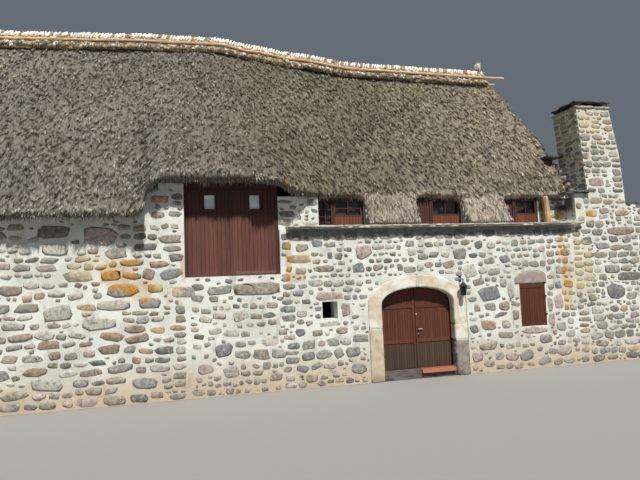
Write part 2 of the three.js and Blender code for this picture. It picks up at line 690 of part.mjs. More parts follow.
function barnDoor() {
  const { left, right, sill, head } = BARN;
  const { wide, front, back } = BARN_FRAME;
  const frame = joined([
    block(left, left + wide, front, back, sill, head),
    block(right - wide, right, front, back, sill, head),
    block(left, right, front, back, head - wide, head),
  ]);
  add('barn_door_frame', shaped(frame), brownWood());
  const leaves = [
    { name: 'barn_door_left', x0: left + wide, x1: BARN_LEAF.seam - 2, pane: BARN_PANE.left },
    { name: 'barn_door_right', x0: BARN_LEAF.seam + 2, x1: right - wide, pane: BARN_PANE.right },
  ];
  for (const { name, x0, x1, pane } of leaves) {
    const hole = (y0, y1) =>
      block(pane - BARN_PANE.half, pane + BARN_PANE.half, y0, y1, BARN_PANE.low, BARN_PANE.high);
    const board = solid(block(x0, x1, BARN_LEAF.front, BARN_LEAF.back, sill, head - wide));
    add(name, shaped(board.subtract(solid(hole(front, back)))), brownWood());
    add(name.replace('door', 'pane'), hole(200, 208), glass());
  }
}

// Eyebrow windows: a frame with a narrow and a wide light, and their glass
const EYEBROW_FRAME = { bar: 70, front: 460, back: 530, share: 0.36, panel: 330 };
const WINDOW_POST = { x: 4530, y: 240, top: 115, foot: 125 };

function upperWindows() {
  const low = LEDGE_TOP;
  const high = NOTCH_TOP - SEAT;
  const { bar, front, back, share, panel } = EYEBROW_FRAME;
  for (const { name, left, right } of UPPER_WINDOWS) {
    const split = left + (right - left) * share;
    const light = (x0, x1, z0) => solid(block(x0, x1, front - 60, back + 60, z0, high - bar));
    const frame = solid(block(left, right, front, back, low, high))
      .subtract(light(left + bar, split - bar / 2, low + bar))
      .subtract(light(split + bar / 2, right - bar, low + panel));
    add(name, shaped(frame), brownWood());
    const edge = bar / 2;
    const pane = block(left + edge, right - edge, back, back + 8, low + edge, high - edge);
    add(name.replace('window', 'glass'), pane, glass());
  }
  const { x, y, top, foot } = WINDOW_POST;
  const post = new THREE.CylinderGeometry(top, foot, high - low, 12).rotateX(Math.PI / 2);
  add('window_post', post.translate(x, y, (high + low) / 2), paleWood());
}

const LANTERN = { x: 1330, out: 190, top: 2430 };

function shutterAndLamp() {
  const { left, right, sill, head } = SHUTTER;
  add('window_shutter', block(left, right, 30, 80, sill, head), brownWood());
  const { x, out, top } = LANTERN;
  const arm = top + 90;
  const lamp = joined([
    block(x - 40, x + 40, -12, 0, arm - 60, arm + 120),
    block(x - 12, x + 12, -out - 12, -10, arm, arm + 24),
    block(x - 12, x + 12, -out - 12, -out + 12, top, arm + 10),
    new THREE.CylinderGeometry(100, 70, 270, 6).rotateX(Math.PI / 2).translate(x, -out, top - 235),
    new THREE.CylinderGeometry(25, 125, 110, 6).rotateX(Math.PI / 2).translate(x, -out, top - 50),
  ]);
  add('wall_lantern', shaped(lamp), iron());
}

function floors() {
  const inLeft = LEFT + WALL;
  const inRight = RIGHT - WALL;
  const slab = (z0, z1) => block(inLeft, inRight, WALL, DEPTH - WALL, z0, z1);
  add('ground_floor', slab(BASE, 0), paint(0x8d8576, 0.95));
  add('upper_floor', slab(FLOOR_UPPER - FLOOR_THICK, FLOOR_UPPER), floorWood());
}

floors();
frontWalls();
backWall();
gableWall('left_gable_wall', LEFT, LEFT + WALL);
gableWall('right_gable_wall', RIGHT - WALL, RIGHT);
chimney();
slates();
archStones();
archedDoor();
barnDoor();
upperWindows();
shutterAndLamp();
roofFrame();
add('thatch_front', shaped(thatchFront), thatch());
add('thatch_back', shaped(thatchBack), thatch());
hips();
ridgeCap();
ridgePole('ridge_pole_front', -1);
ridgePole('ridge_pole_back', 1);
ridgeTuft();

// The part's origin is the middle of the plan at the lowest ground line
house.position.set(-(LEFT + BREAST.right) / 2, -DEPTH / 2, -BASE);
const part = new THREE.Group();
part.add(house);

export default part;
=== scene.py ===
import math
import random

import bmesh
import bpy
import numpy as np
from mathutils import Matrix, Vector, noise
from mathutils.bvhtree import BVHTree


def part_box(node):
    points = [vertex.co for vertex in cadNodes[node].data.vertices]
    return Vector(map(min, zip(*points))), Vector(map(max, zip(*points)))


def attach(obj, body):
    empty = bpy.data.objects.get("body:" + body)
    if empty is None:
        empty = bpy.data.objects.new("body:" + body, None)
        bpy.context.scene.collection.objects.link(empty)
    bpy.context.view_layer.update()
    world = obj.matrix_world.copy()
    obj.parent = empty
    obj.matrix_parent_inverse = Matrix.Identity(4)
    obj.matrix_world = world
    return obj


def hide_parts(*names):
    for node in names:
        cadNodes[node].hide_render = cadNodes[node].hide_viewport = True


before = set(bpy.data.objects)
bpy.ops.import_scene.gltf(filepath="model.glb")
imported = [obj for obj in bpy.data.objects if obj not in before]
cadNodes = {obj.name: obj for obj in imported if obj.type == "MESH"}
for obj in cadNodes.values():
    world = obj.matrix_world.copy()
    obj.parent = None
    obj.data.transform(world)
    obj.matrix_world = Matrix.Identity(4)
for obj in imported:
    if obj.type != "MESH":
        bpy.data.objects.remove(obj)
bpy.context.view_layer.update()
print("frame loaded")

# Places are given from the middle of the arched door, the face of the front wall and the door sill
thresholdLow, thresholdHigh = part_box("door_threshold")
doorX = (thresholdLow.x + thresholdHigh.x) / 2
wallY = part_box("chimney_breast")[0].y
sillZ = 0.2
houseMiddle = 4.05
up, down = Vector((0, 0, 1)), Vector((0, 0, -1))
white = (1, 1, 1, 1)
noise.seed_set(1)


def at(x, y, z):
    return Vector((doorX + x, wallY + y, sillZ + z))


def fromDoor(point):
    return Vector((point.x - doorX, point.y - wallY, point.z - sillZ))


def nodeBox(name):
    low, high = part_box(name)
    return fromDoor(low), fromDoor(high)


def rgb(red, green, blue):
    return tuple((c / 255) ** 2.2 for c in (red, green, blue)) + (1.0,)


def linked(name, data):
    made = bpy.data.objects.new(name, data)
    bpy.context.scene.collection.objects.link(made)
    return made


def meshOf(name, bm):
    mesh = bpy.data.meshes.new(name)
    bm.to_mesh(mesh)
    bm.free()
    return mesh


def vertsIn(made):
    return [g for g in made["geom"] if isinstance(g, bmesh.types.BMVert)]


# Camera at the photograph's viewing angle
cameraSetup = {"place": (-3.713, -17.793, 2.825), "yaw": 13.60, "pitch": 4.56, "roll": 2.314, "lens": 29.17,
               "sensor": 36.0, "reach": 200}


def makeCamera(setup):
    yaw, pitch, roll = (math.radians(setup[k]) for k in ("yaw", "pitch", "roll"))
    ahead = Vector((math.sin(yaw) * math.cos(pitch), math.cos(yaw) * math.cos(pitch), math.sin(pitch)))
    right = Vector((math.cos(yaw), -math.sin(yaw), 0))
    below = -right.cross(ahead)
    across = right * math.cos(roll) + below * math.sin(roll)
    below = below * math.cos(roll) - right * math.sin(roll)
    data = bpy.data.cameras.new("view")
    data.lens = setup["lens"]
    data.sensor_width = setup["sensor"]
    data.clip_end = setup["reach"]
    camera = linked("view", data)
    turn = Matrix((across, -below, -ahead)).transposed().to_4x4()
    camera.matrix_world = Matrix.Translation(setup["place"]) @ turn
    bpy.context.scene.camera = camera


makeCamera(cameraSetup)
print("camera made")


# Small kit for the finishes

def startFinish(name, inputs):
    material = bpy.data.materials.new(name)
    material.use_nodes = True
    shader = material.node_tree.nodes["Principled BSDF"]
    for key, value in inputs.items():
        shader.inputs[key].default_value = value
    return material, material.node_tree, shader


def put(tree, kind, values=None, **settings):
    made = tree.nodes.new(kind)
    for key, value in settings.items():
        setattr(made, key, value)
    for key, value in (values or {}).items():
        if isinstance(value, bpy.types.NodeSocket):
            tree.links.new(value, made.inputs[key])
        else:
            made.inputs[key].default_value = value
    return made


def placeOn(tree):
    return put(tree, "ShaderNodeTexCoord").outputs["Object"]


def axesOf(tree):
    return put(tree, "ShaderNodeSeparateXYZ", {"Vector": placeOn(tree)}).outputs


def grain(tree, scale, detail=4.0, rough=0.55, twist=0.0, stretch=(1, 1, 1)):
    spot = put(tree, "ShaderNodeMapping", {"Vector": placeOn(tree), "Scale": stretch}).outputs["Vector"]
    values = {"Vector": spot, "Scale": scale, "Detail": detail, "Roughness": rough, "Distortion": twist}
    return put(tree, "ShaderNodeTexNoise", values).outputs["Fac"]


def between(tree, value, low, high, start=0.0, end=1.0):
    values = {"Value": value, "From Min": low, "From Max": high, "To Min": start, "To Max": end}
    return put(tree, "ShaderNodeMapRange", values, interpolation_type="SMOOTHSTEP").outputs["Result"]


def maths(tree, kind, first, second):
    return put(tree, "ShaderNodeMath", {0: first, 1: second}, operation=kind).outputs["Value"]


def mixed(tree, share, first, second, kind="MIX"):
    values = {0: share, 6: first, 7: second}
    return put(tree, "ShaderNodeMix", values, data_type="RGBA", blend_type=kind).outputs[2]


def toneOf(tree):
    return put(tree, "ShaderNodeAttribute", attribute_name="tone").outputs["Color"]


def summed(tree, sources, shares):
    total = 0.0
    for source, share in shares.items():
        total = maths(tree, "ADD", maths(tree, "MULTIPLY", sources[source], share), total)
    return total


# Lichen grows in patches, and the last kind is painted shade in the corner under the eave: the middle of
# each across and up, half its width and height, and how deep it lies and half its depth
lichenAndShadePatches = [
    {"pale": rgb(184, 146, 70), "deep": rgb(162, 112, 40), "cover": 0.9, "patches": [
        (-7.98, 3.0, 0.62, 0.5), (-7.5, 2.6, 0.42, 0.42), (-6.4, 3.1, 0.12, 0.4), (-3.68, 3.2, 0.12, 0.95),
        (-3.5, 2.75, 0.4, 0.2), (4.8, 3.35, 0.2, 0.55), (4.92, 2.2, 0.24, 1.0), (5.95, 4.42, 0.16, 0.14),
        (5.2, 4.4, 0.3, 0.2, 0.45, 0.4)]},
    {"pale": rgb(196, 188, 150), "deep": rgb(178, 160, 108), "cover": 0.62, "patches": [
        (-6.7, 2.6, 0.45, 0.3), (-3.2, 3.2, 0.35, 0.4), (5.45, 2.8, 0.6, 1.3), (5.9, 4.4, 0.5, 0.3),
        (6.2, 7.3, 0.5, 0.5), (-8.6, 3.2, 0.6, 0.5)]},
    # Painted shade in the corner between the last window and the chimney, under the eave
    {"pale": rgb(74, 77, 66), "deep": rgb(50, 52, 46), "cover": 0.85, "patches": [
        (5.2, 4.82, 0.62, 0.46, 0.44, 0.36)]},
]


def farFrom(tree, place, across, height, wide, tall, depth=0, thick=1.0):
    # How far a place lies from the middle of a patch, in half sizes
    for way, values in (("SUBTRACT", at(across, depth, height)), ("DIVIDE", (wide, thick, tall))):
        place = put(tree, "ShaderNodeVectorMath", {0: place, 1: values}, operation=way).outputs[0]
    return put(tree, "ShaderNodeVectorMath", {0: place}, operation="LENGTH").outputs["Value"]


# Lays the lichen, and the painted shade of the last kind of patch, over the base colour
def lichenAndShadeOver(tree, base, reach):
    place = placeOn(tree)
    blotch = grain(tree, 6.5, 6.0, 0.68)
    hue = grain(tree, 13.0, 4.0, 0.7)
    for kind in reversed(lichenAndShadePatches):
        nearest, *others = [farFrom(tree, place, *patch) for patch in kind["patches"]]
        for other in others:
            nearest = maths(tree, "MINIMUM", nearest, other)
        edge = between(tree, nearest, 0.3, 1.3, 0.3, 0.72)
        inside = maths(tree, "SUBTRACT", blotch, edge)
        share = between(tree, inside, -0.04, 0.09, 0.0, reach * kind["cover"])
        patchColour = mixed(tree, between(tree, hue, 0.4, 0.62), kind["deep"], kind["pale"])
        base = mixed(tree, share, base, patchColour)
    return base


def paintedShadeAndDampOver(tree, base):
    # Painted shade darkens the wall under the slate ledge, together with damp, and in the corner between the
    # last
    # window and the chimney: a colour, and where it comes in and fades along each axis. The ragged edges
    # follow a noise
    axes = axesOf(tree)
    x, y, z = (axes[axis] for axis in "XYZ")
    ragged = summed(tree, {"z": z, "noise": grain(tree, 4.5, 4.0, 0.7)}, {"z": 1, "noise": 0.34})
    low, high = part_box("slate_ledge")
    start, end = at(4.32, 0.04, 4.25), at(5.44, 0.16, 5.6)
    shades = [
        # Painted shade, with damp, under the slate ledge
        (rgb(88, 90, 84), [
            (ragged, high.z - 0.2, high.z - 0.06, 0.0, 0.85), (z, low.z, low.z + 0.01, 1.0, 0.0),
            (x, low.x, low.x + 0.1), (x, high.x - 0.5, high.x, 1.0, 0.0),
            (y, low.y + 0.35, low.y + 0.45, 1.0, 0.0)]),
        # Painted shade in the corner under the eave, between the last window and the chimney
        (rgb(56, 59, 51), [
            (ragged, start.z + 0.32, start.z + 0.58, 0.0, 0.8), (z, end.z, end.z + 0.1, 1.0, 0.0),
            (x, start.x, start.x + 0.03), (x, end.x + 0.005, end.x + 0.02, 1.0, 0.0),
            (y, start.y, end.y)]),
    ]
    for colour, edges in shades:
        share = 1.0
        for edge in edges:
            share = maths(tree, "MULTIPLY", between(tree, *edge), share)
        base = mixed(tree, share, base, colour)
    return base


# A texture is its scale, detail, roughness, twist and stretch. The base blends two colours over a source,
# or is the tone that each copy carries. A layer is its source, from where to where, its cover at both and
# its colour. Relief is the share of each source, the strength and the depth
def makeFinish(name, roughness, textures, base, layers=(), relief=None, lichenAndShadeReach=0.0, toned=False,
               inputs=None):
    material, tree, shader = startFinish(name, {"Roughness": roughness, **(inputs or {})})
    sources = {key: grain(tree, *values) for key, values in textures.items()}
    sources["height"] = axesOf(tree)["Z"]
    if base:
        source, *edges, first, second = base
        share = between(tree, sources[source], *edges) if edges else sources[source]
        colour = mixed(tree, share, first, second)
    else:
        colour = toneOf(tree)
    for source, low, high, start, end, shade in layers:
        value = summed(tree, sources, source) if isinstance(source, dict) else sources[source]
        colour = mixed(tree, between(tree, value, low, high, start, end), colour, shade)
    # Lichen, painted shade and damp go over the base colour
    if lichenAndShadeReach:
        colour = paintedShadeAndDampOver(tree, lichenAndShadeOver(tree, colour, lichenAndShadeReach))
    if toned:
        colour = mixed(tree, 1.0, colour, toneOf(tree), "MULTIPLY")
    tree.links.new(colour, shader.inputs["Base Color"])
    if relief:
        shares, strength, depth = relief
        values = {"Height": summed(tree, sources, shares), "Strength": strength, "Distance": depth}
        tree.links.new(put(tree, "ShaderNodeBump", values).outputs["Normal"], shader.inputs["Normal"])
    return material


def dressedFinish(name, pale, warm, light):
    textures = {"broad": (2.6, 4.0, 0.6), "vein": (6.0, 4.0, 0.6, 0.6, (1, 1, 0.3)),
                "pits": (55.0, 3.0, 0.7)}
    layers = [("vein", 0.55, 0.7, 0.0, 0.6, light), ("pits", 0.58, 0.7, 0.0, 0.6, rgb(128, 106, 84)),
              ("height", 0.0, 0.7, 0.45, 0.0, rgb(128, 112, 94))]
    relief = ({"broad": 1, "pits": 0.4}, 0.5, 0.015)
    return makeFinish(name, 0.88, textures, ("broad", 0.38, 0.62, pale, warm), layers, relief)


def roughStoneFinish(name, pale, warm):
    textures = {"broad": (4.2, 4.0, 0.6), "pits": (50.0, 3.0, 0.7)}
    layers = [("pits", 0.52, 0.68, 0.0, 0.6, rgb(88, 82, 78))]
    relief = ({"broad": 1, "pits": 1}, 0.6, 0.02)
    return makeFinish(name, 0.88, textures, ("broad", 0.44, 0.62, pale, warm), layers, relief)


def slateFinish(name, toned, dark=rgb(70, 74, 74), pale=rgb(104, 104, 97), crusted=0.7):
    textures = {"broad": (5.0, 4.0, 0.6), "leaf": (1.0, 3.0, 0.55, 0.0, (3, 3, 60)),
                "crust": (17.0, 4.0, 0.7)}
    layers = [("leaf", 0.5, 0.65, 0.0, 0.6, rgb(42, 44, 46)),
              ("crust", 0.57, 0.64, 0.0, crusted, rgb(168, 166, 148))]
    relief = ({"leaf": 1, "broad": 1}, 0.6, 0.015)
    return makeFinish(name, 0.7, textures, ("broad", 0.35, 0.65, dark, pale), layers, relief, toned=toned)


def thatchFinish(name, ownTone, dark=0.62):
    textures = {"fibre": (1.0, 5.0, 0.7, 0.0, (26, 7, 7)), "broad": (0.8, 3.0)}
    base = None if ownTone else ("fibre", 0.4, 0.62, rgb(74, 69, 62), rgb(146, 138, 126))
    layers = [("broad", 0.42, 0.66, 0.0, dark * 0.4, rgb(112, 103, 90))]
    if ownTone:
        layers[:0] = [("fibre", 0.38, 0.56, dark, 0.0, rgb(48, 44, 40)),
                      ("fibre", 0.54, 0.7, 0.0, dark * 0.5, rgb(196, 188, 172))]
    return makeFinish(name, 1.0, textures, base, layers, ({"fibre": 1}, 0.6, 0.025))


def boardFinish(name, fresh, worn, wornTop=None, paintedEaveShade=None):
    # Boards are worn up to one height, and painted darker above another as the shade that the eave casts
    textures = {"line": (1.0, 5.0, 0.65, 0.0, (34, 34, 1.6))}
    layers = []
    if wornTop:
        layers.append(({"height": 1, "line": 0.25}, *wornTop, 0.85, 0.0, rgb(64, 54, 43)))
    if paintedEaveShade:
        layers.append(("height", *paintedEaveShade, 0.0, 0.6, rgb(40, 25, 22)))
    base = ("line", 0.35, 0.68, 0.0, 0.65, fresh, worn)
    return makeFinish(name, 0.72, textures, base, layers, ({"line": 1}, 0.35, 0.006), toned=True)


def plainWoodFinish(name, fresh, worn, stretch):
    textures = {"line": (1.0, 5.0, 0.6, 0.0, stretch)}
    return makeFinish(name, 0.8, textures, ("line", 0.35, 0.65, fresh, worn), (), ({"line": 1}, 0.4, 0.01))


def glassFinish(name, dark, light, metallic):
    return makeFinish(name, 0.06, {"wave": (3.0, 1.0)}, ("wave", 0.4, 0.6, dark, light), (),
                      ({"wave": 1}, 0.1, 0.01), inputs={"Metallic": metallic, "Specular IOR Level": 0.8})


mortar = makeFinish(
    "lime_mortar", 0.95,
    {"broad": (1.3, 3.0), "sand": (46.0, 4.0, 0.7), "stain": (3.4, 4.0, 0.55, 0.0, (1, 1, 0.35)),
     "lumps": (11.0, 4.0)},
    ("broad", 0.35, 0.65, rgb(219, 221, 217), rgb(196, 198, 191)),
    [("sand", 0.5, 0.75, 0.0, 0.45, rgb(150, 142, 124)), ("stain", 0.56, 0.7, 0.0, 0.4, rgb(122, 113, 98)),
     ("height", 0.0, 1.3, 0.75, 0.0, rgb(176, 152, 122)),
     ("height", 5.2, 7.4, 0.0, 0.5, rgb(203, 191, 164))],
    ({"sand": 1, "lumps": 1}, 0.7, 0.02), lichenAndShadeReach=0.42)
rubble = makeFinish(
    "field_stone", 0.9, {"cloud": (11.0, 6.0, 0.72), "speck": (60.0, 3.0, 0.75)}, None,
    [("cloud", 0.34, 0.52, 0.7, 0.0, rgb(70, 68, 66)), ("cloud", 0.52, 0.7, 0.0, 0.6, rgb(206, 202, 190)),
     ("speck", 0.54, 0.66, 0.0, 0.4, rgb(206, 200, 186)), ("speck", 0.44, 0.34, 0.0, 0.6, rgb(44, 42, 41))],
    ({"cloud": 1, "speck": 0.5}, 0.8, 0.03), lichenAndShadeReach=1.0)
dressed = dressedFinish("dressed_stone", rgb(212, 212, 203), rgb(194, 180, 160), rgb(222, 222, 212))
# The left jamb is a darker copy of the dressed stone: partly its own tone, partly painted shade of the
# plants before it
jambStone = dressedFinish("left_jamb_stone", rgb(190, 180, 160), rgb(172, 154, 129), rgb(198, 188, 167))
capStone = roughStoneFinish("cap_stone", rgb(168, 162, 149), rgb(138, 128, 115))
pinkStone = roughStoneFinish("pink_lintel_stone", rgb(149, 145, 146), rgb(156, 132, 119))
greyStone = roughStoneFinish("grey_jamb_stone", rgb(146, 140, 133), rgb(122, 114, 108))
slate = slateFinish("dark_slate", True)
plainSlate = slateFinish("plain_slate", False)
ledgeSlate = slateFinish("ledge_slate", True, rgb(170, 167, 154), rgb(212, 207, 194))
# The hood is dark stone, made darker still as painted shade on its front and underside
hoodSlate = slateFinish("hood_slate", False, rgb(46, 43, 42), rgb(72, 68, 64), 0.15)
thatchBase = thatchFinish("thatch_bed", False)
thatchTufts = thatchFinish("thatch_tufts", True)
ridgeTufts = thatchFinish("ridge_tufts", True, 0.12)
ridgeStraw = makeFinish(
    "ridge_straw", 0.95, {"fibre": (1.0, 5.0, 0.7, 0.0, (30, 8, 8))},
    ("fibre", 0.38, 0.62, rgb(112, 96, 74), rgb(178, 160, 130)), (), ({"fibre": 1}, 0.8, 0.03))
redBoards = boardFinish("red_brown_boards", rgb(96, 57, 46), rgb(62, 38, 33))
# The barn door boards carry painted shade of the eave over their top
barnBoards = boardFinish("barn_door_boards", rgb(96, 57, 46), rgb(62, 38, 33), None, (4.56, 4.72))
doorBoards = boardFinish("arched_door_boards", rgb(90, 46, 27), rgb(57, 31, 20), (1.02, 1.08))
shutterBoards = boardFinish("shutter_boards", rgb(82, 41, 17), rgb(58, 29, 13))
panelBoards = boardFinish("window_panels", rgb(104, 56, 34), rgb(78, 42, 26))
terracotta = boardFinish("terracotta_board", rgb(142, 88, 68), rgb(120, 70, 54))
windowBars = boardFinish("window_bars", rgb(74, 42, 33), rgb(48, 28, 23))
greyWood = plainWoodFinish("grey_worn_wood", rgb(106, 96, 93), rgb(64, 56, 54), (3, 18, 18))
frameWood = plainWoodFinish("frame_wood", rgb(76, 43, 33), rgb(50, 29, 24), (18, 18, 3))
beamWood = plainWoodFinish("beam_wood", rgb(76, 52, 44), rgb(44, 32, 28), (3, 18, 18))
poleWood = plainWoodFinish("pole_wood", rgb(224, 192, 152), rgb(172, 134, 96), (2, 24, 24))
postWood = plainWoodFinish("post_wood", rgb(204, 176, 136), rgb(150, 120, 86), (24, 24, 2))
roofWood = plainWoodFinish("roof_wood", rgb(128, 102, 74), rgb(84, 66, 48), (5, 5, 14))
floorBoards = plainWoodFinish("floor_boards", rgb(134, 108, 80), rgb(92, 72, 54), (1.5, 16, 16))
iron = makeFinish(
    "dark_iron", 0.5, {"worn": (30.0, 3.0)}, ("worn", 0.5, 0.7, rgb(30, 36, 46), rgb(74, 74, 78)), (),
    ({"worn": 1}, 0.2, 0.002), inputs={"Metallic": 0.7})
steel = makeFinish(
    "satin_metal", 0.4, {"brushed": (1.0, 2.0, 0.55, 0.0, (10, 10, 300))},
    ("brushed", rgb(205, 200, 190), rgb(168, 164, 158)), inputs={"Metallic": 0.35})
# The eyebrow panes are opaque, painted dark as the shaded room behind them
glass = glassFinish("window_glass", rgb(26, 22, 21), rgb(62, 56, 54), 0.0)
brightGlass = glassFinish("sky_lit_glass", rgb(214, 220, 224), rgb(244, 246, 246), 0.3)

nodeFinishes = {
    mortar: "front_wall_left front_wall_middle front_wall_over_arch front_wall_right back_wall "
            "left_gable_wall right_gable_wall chimney_breast chimney_stack jamb_stone_right_lower",
    dressed: "arch_stone_left arch_stone_right jamb_stone_right_upper ground_floor",
    jambStone: "jamb_stone_left",
    capStone: "chimney_cap",
    pinkStone: "window_lintel",
    plainSlate: "slate_ledge drip_slate shoulder_slab",
    hoodSlate: "chimney_hood",
    thatchBase: "thatch_front thatch_back thatch_hip_left thatch_hip_right",
    ridgeStraw: "ridge_cap ridge_tuft",
    greyWood: "door_threshold",
    frameWood: "door_frame arched_door_left arched_door_right barn_door_frame barn_door_left "
               "barn_door_right upper_window_left upper_window_middle upper_window_right window_shutter "
               "back_shutter_upper_left back_shutter_upper_right back_shutter_lower",
    beamWood: "barn_door_lintel",
    poleWood: "ridge_pole_front ridge_pole_back",
    postWood: "window_post",
    roofWood: "roof_frame",
    floorBoards: "upper_floor",
    iron: "wall_lantern",
    steel: "door_handle",
    glass: "upper_glass_left upper_glass_middle upper_glass_right",
    brightGlass: "barn_pane_left barn_pane_right",
}
for finish, names in nodeFinishes.items():
    for name in names.split():
        for slot in cadNodes[name].material_slots:
            slot.material = finish
print("finishes made")

# Pieces

def addPiece(name, mesh, finish, body="house", smooth=True):
    mesh.materials.append(finish)
    mesh.polygons.foreach_set("use_smooth", [smooth] * len(mesh.polygons))
    piece = linked(name, mesh)
    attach(piece, body)
    return piece


def arraysOf(bm):
    bmesh.ops.remove_doubles(bm, verts=bm.verts, dist=1e-5)
    bmesh.ops.recalc_face_normals(bm, faces=bm.faces)
    bmesh.ops.triangulate(bm, faces=bm.faces)
    bm.verts.index_update()
    points = np.array([v.co[:] for v in bm.verts])
    faces = np.array([[v.index for v in f.verts] for f in bm.faces])
    bm.free()
    return points, faces


def addTones(mesh, tones):
    attribute = mesh.color_attributes.new("tone", "FLOAT_COLOR", "POINT")
    attribute.data.foreach_set("color", tones.astype(np.float32).ravel())


def joinCopies(name, shapes, copies):
    # Each copy is the number of a shape, its matrix and its tone
    points, faces, tones = [], [], []
    count = 0
    for pick, matrix, tone in copies:
        shapePoints, shapeFaces = shapes[pick]
        turn = np.array(matrix)
        points.append(shapePoints @ turn[:3, :3].T + turn[:3, 3])
        mirrored = np.linalg.det(turn[:3, :3]) < 0
        faces.append((shapeFaces[:, ::-1] if mirrored else shapeFaces) + count)
        tones.append(np.tile(tone, (len(shapePoints), 1)))
        count += len(shapePoints)
    mesh = bpy.data.meshes.new(name)
    mesh.from_pydata(np.concatenate(points), [], np.concatenate(faces))
    addTones(mesh, np.concatenate(tones))
    mesh.update()
    return mesh


def placed(across, upward, outward, middle):
    matrix = Matrix((across, upward, outward)).transposed().to_4x4()
    matrix.translation = middle
    return matrix


def bladeAt(side, tip, wide, length, foot):
    return placed(side * wide, tip * length, side.cross(tip) * wide, foot)


# Rubble stones: the largest are laid first, then smaller ones wherever there is room between them.
# Each shape is a rounded polygon, raised in two steps that narrow
stoneSetup = {"shapes": 36, "sides": 8, "square": (0.4, 0.85), "turn": (0, 0.6), "uneven": (0.76, 1.08),
              "steps": ((0.72, 0.97), (0.28, 0.8)), "grow": 1.08, "proud": (0.4, 1.1), "sunk": 0.018,
              "shade": (0.8, 1.12), "rough": 0.014, "pitch": 11.0, "most": 6000}


def stoneShape(seed):
    dice = random.Random(seed)
    bm = bmesh.new()
    bmesh.ops.create_circle(bm, cap_ends=True, segments=stoneSetup["sides"], radius=0.5)
    corner = dice.uniform(*stoneSetup["square"])
    start = dice.uniform(*stoneSetup["turn"])
    for vertex in bm.verts:
        angle = math.atan2(vertex.co.y, vertex.co.x) + start
        for axis, part in ((0, math.cos(angle)), (1, math.sin(angle))):
            rounded = 0.5 * math.copysign(abs(part) ** corner, part)
            vertex.co[axis] = rounded * dice.uniform(*stoneSetup["uneven"])
    top = bm.faces[:]
    for rise, share in stoneSetup["steps"]:
        made = bmesh.ops.extrude_face_region(bm, geom=top)
        verts = vertsIn(made)
        top = [g for g in made["geom"] if isinstance(g, bmesh.types.BMFace)]
        bmesh.ops.translate(bm, verts=verts, vec=(0, 0, rise))
        bmesh.ops.scale(bm, verts=verts, vec=(share, share, 1))
    return arraysOf(bm)


stoneShapes = [stoneShape(seed) for seed in range(stoneSetup["shapes"])]

stoneTones = {
    "blue grey": rgb(124, 127, 131),
    "grey": rgb(146, 144, 139),
    "dark grey": rgb(114, 112, 110),
    "brown grey": rgb(150, 140, 127),
    "pink": rgb(172, 157, 150),
    "rust": rgb(150, 129, 112),
    "ochre": rgb(172, 154, 122),
    "pale": rgb(184, 181, 172),
}
facadeMix = ["blue grey"] + ["grey"] * 4 + ["dark grey"] + ["brown grey"] * 2 + ["pink"] + ["pale"] * 2
boldMix = ["grey"] * 3 + ["dark grey"] + ["brown grey"] * 2 + ["pale"] * 2 + ["pink", "ochre", "rust"]
chimneyMix = ["grey"] * 3 + ["dark grey"] + ["brown grey"] * 3 + ["ochre"] + ["pale"] * 2

# Large stones are strewn first: widths, how flat they are and tries for a square metre. Others lie in
# wavy rows, and small ones fill the mortar between: widths and tries. Below the height under, stones are
# larger by times. Even says how much of its row each fills, and wave how far the rows stray
stoneStyles = {
    "facade": {"large": ((0.32, 0.5), (1.2, 1.9), 2.2), "row": (0.1, 0.24), "flat": (0.9, 2.2),
               "wave": 0.08, "fill": [(0.12, 0.2, 80), (0.08, 0.12, 45)], "gap": 0.026, "proud": 0.018,
               "even": (0.55, 1.0), "under": 2.5, "times": 1.4, "mix": facadeMix},
    "bold": {"large": ((0.5, 0.85), (1.8, 3.0), 2.0), "row": (0.13, 0.29), "flat": (1.4, 3.0), "wave": 0.08,
             "fill": [(0.16, 0.3, 80), (0.09, 0.15, 55)], "gap": 0.026, "proud": 0.026,
             "even": (0.55, 1.0), "under": 0.0, "times": 1.0, "mix": boldMix},
    "chimney": {"large": ((0.36, 0.56), (1.5, 2.4), 1.2), "row": (0.11, 0.21), "flat": (1.1, 2.5),
                "wave": 0.03, "fill": [(0.1, 0.24, 160), (0.07, 0.11, 130)], "gap": 0.006, "proud": 0.02,
                "even": (0.84, 1.04), "under": 4.6, "times": 1.3, "mix": chimneyMix},
}

